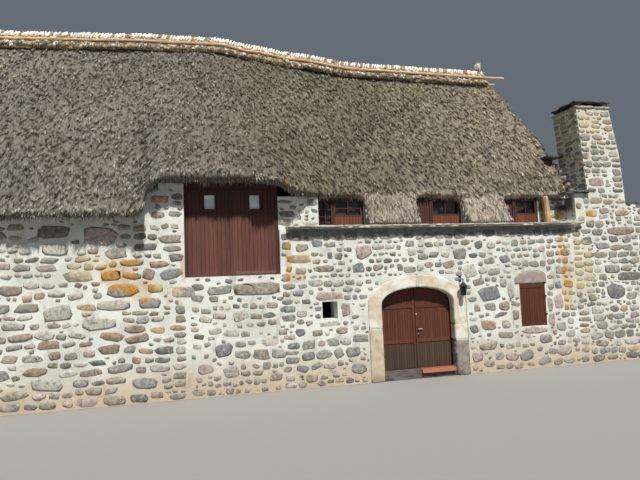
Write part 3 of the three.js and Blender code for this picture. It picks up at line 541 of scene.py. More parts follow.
# Stones that the photograph shows plainly: middle, width, height, tilt in degrees and tone
plainStones = {
    "left": [
        (-7.32, 3.67, 0.64, 0.19, 0, "dark grey"), (-6.72, 3.86, 0.58, 0.2, 0, "brown grey"),
        (-6.67, 3.62, 0.48, 0.15, 2, "grey"), (-6.59, 3.38, 0.35, 0.22, 0, "dark grey"),
        (-6.72, 2.97, 0.58, 0.27, 14, "blue grey"), (-6.42, 2.5, 0.68, 0.3, 0, "grey"),
        (-7.26, 2.98, 0.31, 0.3, 0, "rust"), (-7.1, 2.63, 0.36, 0.24, 0, "ochre"),
        (-7.66, 3.28, 0.56, 0.18, 0, "ochre"), (-8.14, 2.97, 0.48, 0.28, 4, "ochre"),
    ],
    "under door": [
        (-4.52, 2.5, 1.24, 0.38, 0, "brown grey"), (-5.5, 2.5, 0.72, 0.24, 1, "grey"),
    ],
    "middle": [
        (-3.4, 3.25, 0.66, 0.27, 0, "brown grey"), (-2.72, 2.96, 0.6, 0.19, 0, "brown grey"),
        (-2.87, 3.65, 0.33, 0.22, 0, "blue grey"), (-2.53, 3.32, 0.14, 0.19, 0, "blue grey"),
        (-2.28, 3.29, 0.24, 0.2, 0, "dark grey"), (-2.5, 3.62, 0.36, 0.16, 0, "grey"),
        (-2.58, 2.22, 0.76, 0.22, 0, "pink"), (-2.14, 1.83, 0.3, 0.42, 0, "pink"),
        (-2.6, 1.47, 0.66, 0.17, 0, "pale"),
    ],
    "right": [
        (2.26, 2.06, 0.72, 0.38, 5, "blue grey"), (1.92, 2.42, 0.38, 0.22, 10, "brown grey"),
        (2.73, 2.36, 0.24, 0.27, 0, "pale"), (1.83, 1.66, 0.19, 0.22, 0, "brown grey"),
        (2.25, 1.68, 0.38, 0.22, 0, "grey"), (2.73, 1.69, 0.36, 0.27, 0, "brown grey"),
        (2.58, 1.43, 0.46, 0.14, 14, "dark grey"), (2.17, 1.16, 0.48, 0.3, -8, "rust"),
        (2.74, 1.15, 0.3, 0.27, 0, "pink"), (2.7, 0.84, 0.56, 0.2, 0, "brown grey"),
        (2.12, 0.56, 0.63, 0.25, 6, "brown grey"), (3.69, 0.93, 0.86, 0.2, 0, "pink"),
        (4.28, 1.66, 0.2, 0.44, 0, "pink"), (4.58, 1.72, 0.32, 0.46, 0, "pink"),
        (4.31, 1.22, 0.26, 0.38, 0, "pink"), (4.63, 0.98, 0.34, 0.28, 0, "grey"),
        (2.98, 2.13, 0.26, 0.46, 0, "pale"), (3.09, 1.4, 0.22, 0.3, 0, "brown grey"),
        (2.84, 3.07, 0.36, 0.24, 0, "blue grey"), (2.01, 3.51, 0.27, 0.27, 0, "dark grey"),
        (2.42, 3.49, 0.29, 0.22, 0, "pale"), (4.14, 3.35, 0.24, 0.22, 0, "pink"),
    ],
    "breast": [
        (7.08, 3.85, 1.0, 0.28, 0, "brown grey"), (7.28, 2.4, 0.92, 0.26, 0, "dark grey"),
        (6.68, 1.94, 0.74, 0.5, 0, "blue grey"), (6.63, 2.65, 0.55, 0.3, 0, "grey"),
        (6.33, 3.38, 0.55, 0.22, 0, "grey"), (6.02, 4.4, 0.44, 0.24, 0, "ochre"),
    ],
    "stack": [(6.3, 5.42, 0.56, 0.32, 0, "pink")],
}


# Spacing of the corner stones, the strewn stones, the rows and the fill
spacing = {"cornerTall": (0.11, 0.24), "cornerWide": (0.2, 0.46), "cornerGap": (0.02, 0.06), "least": 0.06,
           "slack": 0.002, "rowStart": (0, 0.08), "rowGap": (0.7, 1.6), "rowShare": 0.7, "closer": 0.6,
           "skip": 0.05, "waveLength": 0.8, "fillFlat": (1.0, 2.2), "fillLow": 0.045, "fillGap": (0.5, 1.2),
           "tilts": {"large": 0.08, "row": 0.1, "fill": 0.15}}


def layStones(dice, style, face, start, end, low, high, blocked=None, plain=(), corners=True):
    # A face gives the place at u and v and its direction; blocked says where an opening keeps stones away
    start, end = (edge if callable(edge) else still(edge) for edge in (start, end))
    taken = np.zeros((stoneSetup["most"], 4))
    copies = []

    def lay(u, v, wide, tall, tilt, tone=None):
        taken[len(copies)] = (u, v, wide / 2, tall / 2)
        tone = tone or dice.choice(style["mix"])
        copies.append(oneStone(dice, style, face, u, v, wide, tall, tilt, stoneTones[tone]))

    def layWhereFree(u, v, wide, tall, gap, sway=0.0):
        a, b = wide / 2, tall / 2
        if v - b < low or v + b > high or blocked and blocked(u, v, a, b):
            return False
        if u - a < start(v) - spacing["slack"] or u + a > end(v) + spacing["slack"]:
            return False
        near = taken[:len(copies)]
        across = np.abs(near[:, 0] - u) / (near[:, 2] + a + gap)
        upward = np.abs(near[:, 1] - v) / (near[:, 3] + b + gap)
        if (across ** 4 + upward ** 4 < 1).any():
            return False
        lay(u, v, wide, tall, dice.gauss(0, sway) if sway else 0)
        return True

    for u, v, wide, tall, tilt, name in plain:
        lay(u, v, wide, tall, math.radians(tilt), name)
    gap, tilts = style["gap"], spacing["tilts"]
    for side in (-1, 1) if corners else ():
        v = low + 0.02
        while v < high - 0.15:
            tall, wide = dice.uniform(*spacing["cornerTall"]), dice.uniform(*spacing["cornerWide"])
            middle = v + tall / 2
            u = start(middle) + wide / 2 if side < 0 else end(middle) - wide / 2
            layWhereFree(u, middle, wide, tall, gap)
            v += tall + dice.uniform(*spacing["cornerGap"])
    area = (end(low) - start(low)) * (high - low)
    widths, flatness, tries = style["large"]
    for number in range(int(area * tries)):
        u, v, wide = dice.uniform(start(low), end(low)), dice.uniform(low, high), dice.uniform(*widths)
        layWhereFree(u, v, wide, wide / dice.uniform(*flatness), gap, tilts["large"])
    row = low
    while row < high - spacing["least"]:
        deep = dice.uniform(*style["row"]) * (style["times"] if row < style["under"] else 1.0)
        middle = row + deep / 2
        wave = dice.uniform(0, 100)
        u = start(middle) + dice.uniform(*spacing["rowStart"])
        while u < end(middle) - spacing["least"]:
            tall = deep * dice.uniform(*style["even"])
            wide = tall * dice.uniform(*style["flat"])
            stray = noise.noise(Vector((u * spacing["waveLength"], wave, 0))) * style["wave"]
            v = middle + stray + dice.gauss(0, style["wave"] / 4)
            if layWhereFree(u + wide / 2, v, wide, tall, gap * spacing["closer"], tilts["row"]):
                u += wide + gap * dice.uniform(*spacing["rowGap"])
            else:
                u += spacing["skip"]
        row += deep + gap * spacing["rowShare"]
    for narrow, broad, tries in style["fill"]:
        for number in range(int(area * tries)):
            v = dice.uniform(low, high)
            wide = dice.uniform(narrow, broad)
            tall = max(wide / dice.uniform(*spacing["fillFlat"]), spacing["fillLow"])
            u = dice.uniform(start(v), end(v))
            layWhereFree(u, v, wide, tall, gap * dice.uniform(*spacing["fillGap"]), tilts["fill"])
    return copies


def oneStone(dice, style, face, u, v, wide, tall, tilt, tone):
    point, outward = face
    grow, sunk = stoneSetup["grow"], stoneSetup["sunk"]
    across = (point(u + 0.1, v) - point(u, v)).normalized()
    across = Matrix.Rotation(tilt, 3, outward) @ across
    proud = style["proud"] * dice.uniform(*stoneSetup["proud"])
    flip = dice.choice((-1, 1))
    upward = outward.cross(across)
    matrix = placed(across * wide * grow * flip, upward * tall * grow, outward * (proud + sunk),
                    point(u, v) - outward * sunk)
    return dice.randrange(len(stoneShapes)), matrix, np.array(tone) * dice.uniform(*stoneSetup["shade"])


def flatFace(x, y, across):
    start, across = at(x, y, 0), Vector(across)
    return lambda u, v: start + across * u + up * v, across.cross(up)


def still(value):
    return lambda v: value


def boxesBlocked(boxes, mirrored=False):
    # Boxes are left, right, low and high; a face seen from behind runs the other way
    if mirrored:
        boxes = [(-x1, -x0, z0, z1) for x0, x1, z0, z1 in boxes]
    return lambda u, v, a, b: any(u + a > x0 and u - a < x1 and v + b > z0 and v - b < z1
                                  for x0, x1, z0, z1 in boxes)


def openingBox(name):
    low, high = nodeBox(name)
    edge = 0.02
    return low.x - edge, high.x + edge, low.z - edge, high.z + edge


vent = {"left": -2.80, "right": -2.37, "sill": 1.60, "head": 2.07}
arch = {"out": 1.52, "spring": 1.92, "rise": 0.82, "inner": 2.35}


def facadeBlocked():
    boxes = [openingBox(name) for name in ("barn_door_frame", "window_shutter", "window_lintel")]
    inBox = boxesBlocked(boxes + [tuple(vent.values())])

    def blocked(u, v, a, b):
        near = max(abs(u) - a, 0)
        height = max(v - b - arch["spring"], 0)
        underArch = (near / arch["out"]) ** 2 + (height / arch["rise"]) ** 2 < 1
        return underArch or inBox(u, v, a, b)
    return blocked


# The stack leans: its sides follow straight lines between a few heights. The gables lean in over the eaves
stackSides = {
    "left": [(5.04, 5.94), (7.79, 5.76)],
    "right": [(5.04, 7.315), (6.24, 7.25), (7.79, 6.98)],
}
gable = {"eaves": 4.6, "lean": 0.62, "top": 6.5}
backShutters = ["back_shutter_upper_left", "back_shutter_upper_right", "back_shutter_lower"]


def sideX(side, v):
    heights, places = zip(*stackSides[side])
    return float(np.interp(v, heights, places))


def gableStart(v):
    return 0.0 if v < gable["eaves"] else (v - gable["eaves"]) * gable["lean"]


def dressWalls():
    leftX, rightX = nodeBox("left_gable_wall")[0].x, nodeBox("right_gable_wall")[1].x
    backY = nodeBox("back_wall")[1].y
    bottom = -sillZ + 0.03
    underLedge = nodeBox("slate_ledge")[0].z - 0.02
    barnLow, barnHigh = nodeBox("barn_door_frame")
    breast, slabLow = nodeBox("chimney_breast")[1], nodeBox("shoulder_slab")[0]
    stackLow, stackHigh = nodeBox("chimney_stack")
    pier = nodeBox("upper_window_left")[0].x
    openings = facadeBlocked()
    besideLedge = boxesBlocked([(5.0, rightX, underLedge, 5.0)])
    shutters = boxesBlocked([openingBox(name) for name in backShutters], mirrored=True)
    toRight, toLeft, inward, outward = (1, 0, 0), (-1, 0, 0), (0, 1, 0), (0, -1, 0)
    front = flatFace(0, 0, toRight)
    stackFront = (lambda u, v: at(u, 0, v), Vector(outward))
    stackBack = (lambda u, v: at(-u, stackHigh.y, v), Vector(inward))
    stackLeft = (lambda u, v: at(sideX("left", v), stackHigh.y - u, v), Vector(toLeft))
    stackRight = (lambda u, v: at(sideX("right", v), u, v), Vector(toRight))

    def gableEnd(v):
        return backY - gableStart(v)

    def besideBreast(v):
        return breast.y + 0.01 if v < breast.z else gableStart(v)

    # Each stretch of wall is its style, face, start, end, lowest and highest place, and what else holds
    stretches = {
        "stones_front_left": [
            ("bold", front, leftX + 0.01, barnLow.x, bottom, 4.36,
             {"blocked": openings, "plain": plainStones["left"]}),
            ("bold", front, -7.2, barnLow.x - 0.01, 4.38, 5.15, {}),
            ("facade", front, barnLow.x + 0.1, -3.75, bottom, barnLow.z - 0.02,
             {"plain": plainStones["under door"], "corners": False})],
        "stones_front_middle": [
            ("facade", front, barnHigh.x + 0.02, 0.0, bottom, underLedge,
             {"blocked": openings, "plain": plainStones["middle"]})],
        "stones_front_right": [
            ("facade", front, 0.0, rightX - 0.5, bottom, underLedge,
             {"blocked": openings, "plain": plainStones["right"], "corners": False})],
        "stones_chimney_breast": [
            ("chimney", front, rightX - 0.48, breast.x, bottom, slabLow.z - 0.01,
             {"blocked": besideLedge, "plain": plainStones["breast"]}),
            ("chimney", front, rightX, slabLow.x, slabLow.z, breast.z, {}),
            ("chimney", flatFace(breast.x, 0, inward), 0.0, breast.y, bottom, slabLow.z - 0.01, {}),
            ("chimney", flatFace(0, breast.y, toLeft), -breast.x, -rightX, bottom, slabLow.z - 0.01, {})],
        "stones_front_upper": [
            ("facade", flatFace(0, 0.15, toRight), barnHigh.x + 0.02, pier - 0.01, 4.15, 4.95, {}),
            ("bold", flatFace(0, 0.45, toRight), 4.5, 5.42, 4.15, 4.93, {}),
            ("bold", front, 5.46, rightX, 4.08, 4.93, {}),
            ("bold", flatFace(5.44, 0.23, outward), 0.01, 0.22, 4.1, 4.9, {"corners": False})],
        "stones_back": [
            ("bold", flatFace(0, backY, toLeft), -rightX, -leftX, bottom, 4.8, {"blocked": shutters})],
        "stones_left_gable": [
            ("bold", flatFace(leftX, backY, outward), gableStart, gableEnd, bottom, gable["top"], {})],
        "stones_right_gable": [
            ("bold", flatFace(rightX, 0, inward), besideBreast, gableEnd, bottom, gable["top"], {})],
        "stones_chimney_stack": [
            ("chimney", face, start, end, stackLow.z + 0.01, stackHigh.z - 0.005, {"plain": plain})
            for face, start, end, plain in (
                (stackFront, lambda v: sideX("left", v), lambda v: sideX("right", v), plainStones["stack"]),
                (stackBack, lambda v: -sideX("right", v), lambda v: -sideX("left", v), ()),
                (stackLeft, 0.0, stackHigh.y, ()), (stackRight, 0.0, stackHigh.y, ()))],
    }
    dice = random.Random(11)
    for name, parts in stretches.items():
        copies = []
        for style, face, start, end, low, high, more in parts:
            copies += layStones(dice, stoneStyles[style], face, start, end, low, high, **more)
        mesh = joinCopies(name, stoneShapes, copies)
        for vertex in mesh.vertices:
            vertex.co += noise.noise_vector(vertex.co * stoneSetup["pitch"]) * stoneSetup["rough"]
        addPiece(name, mesh, rubble)
        print(name, len(copies), "stones", len(mesh.polygons), "triangles")


dressWalls()
print("stones laid")


# Thatch: a soft bed of straw with tufts lying down the slope and a ragged fringe at its edges. Each layer
# has the size of its bed's faces, its number of tufts and the pieces that they make
thatchSetup = {
    "layers": {"thatch_front": (0.11, 21000, 2), "thatch_back": (0.14, 5200, 1),
               "thatch_hip_left": (0.12, 1200, 1), "thatch_hip_right": (0.12, 1200, 1)},
    "length": (0.16, 0.36), "width": (0.08, 0.14), "lift": (0.01, 0.09), "sway": 0.22,
    "apronSway": 0.4, "apronLength": 1.25, "apronWidth": 0.5, "lumps": 0.035, "fibres": 0.03,
}
thatchTones = [rgb(146, 139, 131), rgb(134, 128, 120), rgb(122, 116, 109), rgb(156, 148, 137),
               rgb(108, 102, 96), rgb(164, 155, 139), rgb(136, 127, 114)]
vergeTones = [rgb(184, 166, 130), rgb(164, 148, 120), rgb(146, 135, 115)]
apronTones = [rgb(189, 179, 173), rgb(175, 165, 159), rgb(203, 194, 187), rgb(149, 139, 132)]
tuftSetup = {"kinds": 12, "fan": 0.5, "twist": 0.06, "tilt": 0.08, "apart": 0.34, "rise": 0.05,
             "length": (0.7, 1.0), "thick": (0.06, 0.1), "held": 0.35}


def tuftShape(seed, blades):
    dice = random.Random(seed)
    bm = bmesh.new()
    for number in range(blades):
        spread = (number - (blades - 1) / 2) / blades
        turn = Matrix.Rotation(-spread * tuftSetup["fan"] + dice.gauss(0, tuftSetup["twist"]), 4, "Z")
        turn = turn @ Matrix.Rotation(dice.gauss(0, tuftSetup["tilt"]), 4, "X")
        stem = Matrix.Translation((0, 0.5, 0)) @ Matrix.Rotation(-math.pi / 2, 4, "X")
        rise = dice.uniform(-tuftSetup["rise"], tuftSetup["rise"])
        place = Matrix.Translation((spread * tuftSetup["apart"], 0, rise))
        length = Matrix.Diagonal((1, dice.uniform(*tuftSetup["length"]), 1, 1))
        bmesh.ops.create_cone(bm, cap_ends=True, segments=3, radius1=dice.uniform(*tuftSetup["thick"]),
                              radius2=0.0, depth=1.0, matrix=place @ turn @ length @ stem)
    return arraysOf(bm)


tuftShapes = [tuftShape(seed, 4) for seed in range(tuftSetup["kinds"])]
bladeShapes = [tuftShape(seed + 50, 2) for seed in range(tuftSetup["kinds"])]


def softBed(name, voxel):
    # The CAD node is remeshed into even faces
    bm = bmesh.new()
    bm.from_mesh(cadNodes[name].data)
    bmesh.ops.remove_doubles(bm, verts=bm.verts, dist=0.0002)
    whole = meshOf(name + "_whole", bm)
    helper = linked(name + "_helper", whole)
    remesh = helper.modifiers.new("remesh", "REMESH")
    remesh.mode = "VOXEL"
    remesh.voxel_size = voxel
    view = bpy.context.evaluated_depsgraph_get()
    mesh = bpy.data.meshes.new_from_object(helper.evaluated_get(view))
    bpy.data.objects.remove(helper)
    bpy.data.meshes.remove(whole)
    mesh.name = name + "_bed"
    return mesh


def ruffled(mesh, lumps, fibres):
    normals = [v.normal.copy() for v in mesh.vertices]
    for vertex, normal in zip(mesh.vertices, normals):
        place = vertex.co
        rise = noise.fractal(place * 0.9, 1.0, 2.0, 3) * lumps
        rise += noise.fractal(Vector((place.x * 5.5, place.y * 2.6, place.z * 2.6)), 0.8, 2.1, 3) * fibres
        vertex.co = place + normal * rise
    mesh.update()


def treeOf(mesh):
    return BVHTree.FromPolygons([v.co for v in mesh.vertices], [p.vertices for p in mesh.polygons])


def spotsOn(mesh, count, seed, allowed):
    # Random places on the allowed faces, with the direction each faces
    total = len(mesh.polygons)
    centres, normals, areas = np.empty(total * 3), np.empty(total * 3), np.empty(total)
    mesh.polygons.foreach_get("center", centres)
    mesh.polygons.foreach_get("normal", normals)
    mesh.polygons.foreach_get("area", areas)
    centres, normals = centres.reshape(-1, 3), normals.reshape(-1, 3)
    areas = areas * allowed(centres, normals)
    dice = np.random.default_rng(seed)
    chosen = dice.choice(total, size=count, p=areas / areas.sum())
    size = np.sqrt(areas[chosen])[:, None]
    places = centres[chosen] + (dice.random((count, 3)) - 0.5) * size
    return [(Vector(a), Vector(b)) for a, b in zip(places, normals[chosen])]


def slopeFaces(centres, normals):
    return (normals[:, 2] > -0.1) & (np.abs(centres[:, 1]) > 0.25)


def tuftAt(dice, place, normal, length, width, lift, sway):
    slope = down - normal * down.dot(normal)
    if slope.length < 0.05:
        slope = Vector((0, -1, 0)) if place.y < 0 else Vector((0, 1, 0))
    slope = Matrix.Rotation(dice.gauss(0, sway), 3, normal) @ slope.normalized()
    tip = (slope * math.cos(lift) + normal * math.sin(lift)).normalized()
    side = tip.cross(normal).normalized()
    return bladeAt(side, tip, width, length, place - tip * length * tuftSetup["held"])


def onApron(place):
    # The short aprons between the eyebrow windows have paler straw
    near = fromDoor(place)
    return near.z < 5.05 + noise.noise(place * 3) * 0.2 and near.x > -1.6 and near.y < 1.2


def nearVerge(place):
    # The right edge of the thatch leans in with height
    near = fromDoor(place)
    return near.x > 5.35 - max(near.z - 7.0, 0) * 0.2


def sunBleached(place):
    # The straw is greyest at the left, browner in the middle and palest towards the chimney end
    x = fromDoor(place).x
    brown, pale, grey = (min(max(share, 0), 1) for share in ((x + 7) / 3, x / 4, (-5 - x) / 3))
    light = 0.86 + 0.56 * pale + 0.13 * grey
    return np.array((light, light * (1 - 0.02 * brown), light * (1.06 - 0.24 * brown + 0.06 * pale), 1.0))


def tonePicked(dice, tones, low, high):
    return np.array(dice.choice(tones)) * dice.uniform(low, high)


def layTufts(mesh, count, seed):
    dice = random.Random(seed)
    copies = []
    for place, normal in spotsOn(mesh, count, seed, slopeFaces):
        apron = onApron(place)
        tones = apronTones if apron else thatchTones
        if not apron and nearVerge(place) and dice.random() < 0.6:
            tones = vergeTones
        shade = max(1 + 0.24 * noise.noise(place * 0.7) + dice.gauss(0, 0.2), 0.4)
        tone = np.array(dice.choice(tones)) * shade
        if not apron:
            tone = tone * sunBleached(place)
        length = dice.uniform(*thatchSetup["length"]) * (thatchSetup["apronLength"] if apron else 1.0)
        narrow = thatchSetup["apronWidth"] if apron else 1.0
        width = dice.uniform(*thatchSetup["width"]) * narrow
        lift = dice.uniform(*thatchSetup["lift"]) * narrow
        sway = thatchSetup["apronSway" if apron else "sway"]
        pick = dice.randrange(len(tuftShapes))
        copies.append((pick, tuftAt(dice, place, normal, length, width, lift, sway), tone))
    return copies


def toneBed(mesh):
    # The bed between the tufts is painted a little darker than they are, as shade in the gaps between them
    plain, apron = np.mean(thatchTones, axis=0) * 0.62, np.mean(apronTones, axis=0) * 0.75
    tones = [(apron if onApron(v.co) else plain) * (1 + 0.3 * noise.noise(v.co * 0.7)) * sunBleached(v.co)
             for v in mesh.vertices]
    addTones(mesh, np.array(tones))


# The fringe hangs from the lowest outer edge of the thatch, found by looking at the bed from outside
eaveSearch = {"lowest": 4.02, "step": 0.02, "steps": 90, "away": 9, "reach": 6.0}
fringeBlades = {"layers": 2, "shade": (0.85, 1.5), "length": (0.1, 0.26), "apronLength": (0.1, 0.18),
                "sway": 0.22, "splay": (0.1, 0.8), "above": (0.03, 0.16), "inside": (-0.02, 0.1),
                "wide": (0.16, 0.3), "apart": (0.5, 1.5)}
fringeSetup = {
    "front": {"outward": Vector((0, -1, 0)), "start": -12.9, "end": 5.6, "step": 0.016},
    "back": {"outward": Vector((0, 1, 0)), "start": -12.9, "end": 5.5, "step": 0.03},
}


def eavePoint(tree, outward, x):
    for number in range(eaveSearch["steps"]):
        height = eaveSearch["lowest"] + number * eaveSearch["step"]
        origin = at(x, houseMiddle, height) + outward * eaveSearch["away"]
        place = tree.ray_cast(origin, -outward, eaveSearch["reach"])[0]
        if place is not None:
            return place
    return None


def layFringe(mesh, setup, seed):
    dice = random.Random(seed)
    blades = fringeBlades
    tree = treeOf(mesh)
    outward = setup["outward"]
    copies = []
    x = setup["start"]
    while x < setup["end"]:
        place = eavePoint(tree, outward, x)
        apron = place is not None and onApron(place)
        for number in range(0 if place is None else blades["layers"]):
            tone = tonePicked(dice, apronTones if apron else thatchTones, *blades["shade"])
            length = dice.uniform(*blades["apronLength" if apron else "length"])
            slant = Vector((dice.gauss(0, blades["sway"]), 0, -1)) + outward * dice.uniform(*blades["splay"])
            tip = slant.normalized()
            side = tip.cross(outward).normalized()
            start = place + up * dice.uniform(*blades["above"]) - outward * dice.uniform(*blades["inside"])
            wide = dice.uniform(*blades["wide"])
            matrix = bladeAt(side, tip, wide, length, start)
            copies.append((dice.randrange(len(bladeShapes)), matrix, tone))
        x += setup["step"] * dice.uniform(*blades["apart"])
    return copies


def makeThatch():
    for number, (name, (voxel, tufts, parts)) in enumerate(thatchSetup["layers"].items()):
        bed = softBed(name, voxel)
        ruffled(bed, thatchSetup["lumps"], thatchSetup["fibres"])
        toneBed(bed)
        copies = sorted(layTufts(bed, tufts, 20 + number), key=lambda copy: copy[1].translation.x)
        for part in range(parts):
            share = copies[part * len(copies) // parts:(part + 1) * len(copies) // parts]
            partName = name + "_tufts" + (f"_{part + 1}" if parts > 1 else "")
            addPiece(partName, joinCopies(partName, tuftShapes, share), thatchTufts)
        side = name.replace("thatch_", "")
        if side in fringeSetup:
            blades = layFringe(bed, fringeSetup[side], 40 + number)
            fringe = joinCopies(side + "_fringe", bladeShapes, blades)
            addPiece("thatch_fringe_" + side, fringe, thatchTufts)
        piece = addPiece(name + "_bed", bed, thatchTufts)
        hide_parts(name)
        print(name, len(bed.polygons), "bed faces,", len(copies), "tufts")


makeThatch()
print("thatch laid")


# Ridge: a saddle of pale straw, knotted along its top, with ragged lower edges
ridgeSetup = {"voxel": 0.065, "knot": 0.088, "knotShapes": 6, "tufts": 3300, "fringe": 0.024, "top": 0.26,
              "edge": 0.44, "lumps": 0.015, "fibres": 0.02, "above": 13}
knotSetup = {"uneven": 0.05, "from": 0.1, "to": 0.08, "shade": (0.9, 1), "lean": (0.35, 0.15), "wide": 0.085,
             "deep": 0.11, "rise": 0.05, "splay": 0.12, "tall": 0.26, "aside": 0.11, "sunk": 0.07,
             "apart": (0.85, 1.15)}
saddleSetup = {"upward": 0.1, "shade": (0.75, 1.1), "length": (0.14, 0.3), "width": (0.12, 0.22),
               "lift": 0.12, "sway": 0.15}
ridgeEdge = {"from": 0.02, "sway": 0.1, "aside": 0.62, "drop": 0.85, "uneven": 0.08, "wide": (0.14, 0.22),
             "length": (0.2, 0.36), "shade": (0.55, 1.1), "held": 0.1, "apart": (0.5, 1.5)}
sheafSetup = {"blades": 150, "wide": 0.16, "foot": 0.25, "spread": 0.8, "short": 0.3, "shade": (0.6, 1.0)}
bleached, palest, cream = rgb(240, 232, 220), rgb(248, 240, 232), rgb(196, 180, 152)
strawBrown, strawDark = rgb(150, 131, 108), rgb(124, 108, 88)


def knotShape(seed):
    dice = random.Random(seed)
    bm = bmesh.new()
    bmesh.ops.create_uvsphere(bm, u_segments=6, v_segments=4, radius=0.5)
    reach = knotSetup["uneven"]
    for vertex in bm.verts:
        vertex.co += Vector([dice.uniform(-reach, reach) for axis in range(3)])
    return arraysOf(bm)


def ridgeTop(tree, x, y=0.0):
    return tree.ray_cast(at(x, houseMiddle + y, ridgeSetup["above"]), down)[0]


def ridgeKnots(dice, tree, low, high, shapes):
    knots = []
    knot = knotSetup
    x = low.x + knot["from"]
    while x < high.x - knot["to"]:
        place = ridgeTop(tree, x)
        for side in (-1, 1):
            tone = tonePicked(dice, [bleached] * 2 + [palest] * 3 + [strawBrown], *knot["shade"])
            lean = Matrix.Rotation(dice.gauss(*knot["lean"]), 3, "Y")
            across = lean @ Vector((knot["wide"], 0, 0))
            upward = Vector((0, knot["deep"], knot["rise"] * side))
            outward = lean @ Vector((0, -knot["splay"] * side, knot["tall"]))
            middle = place + Vector((0, side * knot["aside"], -knot["sunk"]))
            knots.append((dice.randrange(len(shapes)), placed(across, upward, outward, middle), tone))
        x += ridgeSetup["knot"] * dice.uniform(*knot["apart"])
    return knots


def upwardFaces(centres, normals):
    return normals[:, 2] > saddleSetup["upward"]


def ridgeTuftCopies(dice, bed):
    copies = []
    for place, normal in spotsOn(bed, ridgeSetup["tufts"], 71, upwardFaces):
        tones = [bleached, cream, strawBrown, palest, strawDark]
        if abs(place.y) < ridgeSetup["top"]:
            tones = [palest, bleached, cream]
        tone = tonePicked(dice, tones, *saddleSetup["shade"])
        length, width = (dice.uniform(*saddleSetup[k]) for k in ("length", "width"))
        pick = dice.randrange(len(tuftShapes))
        matrix = tuftAt(dice, place, normal, length, width, saddleSetup["lift"], saddleSetup["sway"])
        copies.append((pick, matrix, tone))
    return copies


def ridgeFringe(dice, tree, low, high):
    copies = []
    edge = ridgeEdge
    for side in (-1, 1):
        x = low.x + edge["from"]
        while x < high.x:
            hit = ridgeTop(tree, x, side * ridgeSetup["edge"])
            if hit is not None:
                slant = (dice.gauss(0, edge["sway"]), side * edge["aside"],
                         -edge["drop"] + dice.gauss(0, edge["uneven"]))
                tip = Vector(slant).normalized()
                across = tip.cross(Vector((0, side, 0.6))).normalized()
                wide, length = (dice.uniform(*edge[k]) for k in ("wide", "length"))
                tone = tonePicked(dice, [cream, strawBrown, strawDark], *edge["shade"])
                matrix = bladeAt(across, tip, wide, length, hit - tip * edge["held"])
                copies.append((dice.randrange(len(tuftShapes)), matrix, tone))
            x += ridgeSetup["fringe"] * dice.uniform(*edge["apart"])
    return copies


def sheafCopies(dice):
    # A tied bundle of straw stands at the chimney end of the ridge, spreading upward
    low, high = nodeBox("ridge_tuft")
    middle = (low + high) / 2
    reach = (high.x - low.x) / 2
    stray = reach * sheafSetup["foot"]
    copies = []
    for number in range(sheafSetup["blades"]):
        foot = at(middle.x + dice.gauss(0, stray), middle.y + dice.gauss(0, stray), low.z)
        spread = dice.uniform(0, 2 * math.pi)
        lean = dice.uniform(0, sheafSetup["spread"]) * reach
        top = at(middle.x + math.cos(spread) * lean, middle.y + math.sin(spread) * lean,
                 high.z - dice.uniform(0, sheafSetup["short"]) * (high.z - low.z))
        tip = (top - foot).normalized()
        side = tip.cross(Vector((dice.uniform(-1, 1), dice.uniform(-1, 1), 0.1))).normalized()
        tone = tonePicked(dice, [bleached, cream], *sheafSetup["shade"])
        matrix = bladeAt(side, tip, sheafSetup["wide"], (top - foot).length, foot)
        copies.append((dice.randrange(len(bladeShapes)), matrix, tone))
    return copies


def makeRidge():
    dice = random.Random(70)
    bed = softBed("ridge_cap", ridgeSetup["voxel"])
    ruffled(bed, ridgeSetup["lumps"], ridgeSetup["fibres"])
    tree = treeOf(bed)
    low, high = nodeBox("ridge_cap")
    knotShapes = [knotShape(seed) for seed in range(ridgeSetup["knotShapes"])]
    knots = ridgeKnots(dice, tree, low, high, knotShapes)
    tufts = ridgeTuftCopies(dice, bed) + ridgeFringe(dice, tree, low, high)
    addPiece("ridge_knots", joinCopies("ridge_knots", knotShapes, knots), ridgeTufts)
    addPiece("ridge_tufts", joinCopies("ridge_tufts", tuftShapes, tufts), ridgeTufts)
    piece = addPiece("ridge_bed", bed, ridgeStraw)
    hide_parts("ridge_cap")
    sheaf = joinCopies("ridge_sheaf", bladeShapes, sheafCopies(dice))
    piece = addPiece("ridge_sheaf", sheaf, ridgeTufts)
    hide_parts("ridge_tuft")


makeRidge()
print("ridge made")


# Joinery: bevelled planks, each with its own shade of the finish

def bevelled(bm, offset):
    bmesh.ops.bevel(bm, geom=bm.edges[:], offset=offset, segments=1, profile=0.5, affect="EDGES",
                    material=-1)
    return arraysOf(bm)


def plank(x0, x1, y0, y1, z0, z1, bevel=0.004):
    bm = bmesh.new()
    low, high = at(x0, y0, z0), at(x1, y1, z1)
    bmesh.ops.create_cube(bm, size=1.0)
    bmesh.ops.scale(bm, verts=bm.verts, vec=high - low)
    bmesh.ops.translate(bm, verts=bm.verts, vec=(low + high) / 2)
    return bevelled(bm, bevel)


def outlined(points, drawn, deep, bevel=0.0):
    # A closed outline whose points drawn places, run straight along deep
    bm = bmesh.new()
    face = bm.faces.new([bm.verts.new(drawn(a, b)) for a, b in points])
    made = bmesh.ops.extrude_face_region(bm, geom=[face])
    bmesh.ops.translate(bm, verts=vertsIn(made), vec=deep)
    return bevelled(bm, bevel) if bevel else arraysOf(bm)


def rod(start, end, radius, sides):
    a, b = at(*start), at(*end)
    along = b - a
    turn = along.to_track_quat("Z", "Y").to_matrix().to_4x4()
    bm = bmesh.new()
    bmesh.ops.create_cone(bm, cap_ends=True, segments=sides, radius1=radius, radius2=radius,
                          depth=along.length, matrix=Matrix.Translation((a + b) / 2) @ turn)
    return arraysOf(bm)


plankShade = {"light": (0.78, 1.18), "green": (0.95, 1.04), "blue": (0.92, 1.04)}


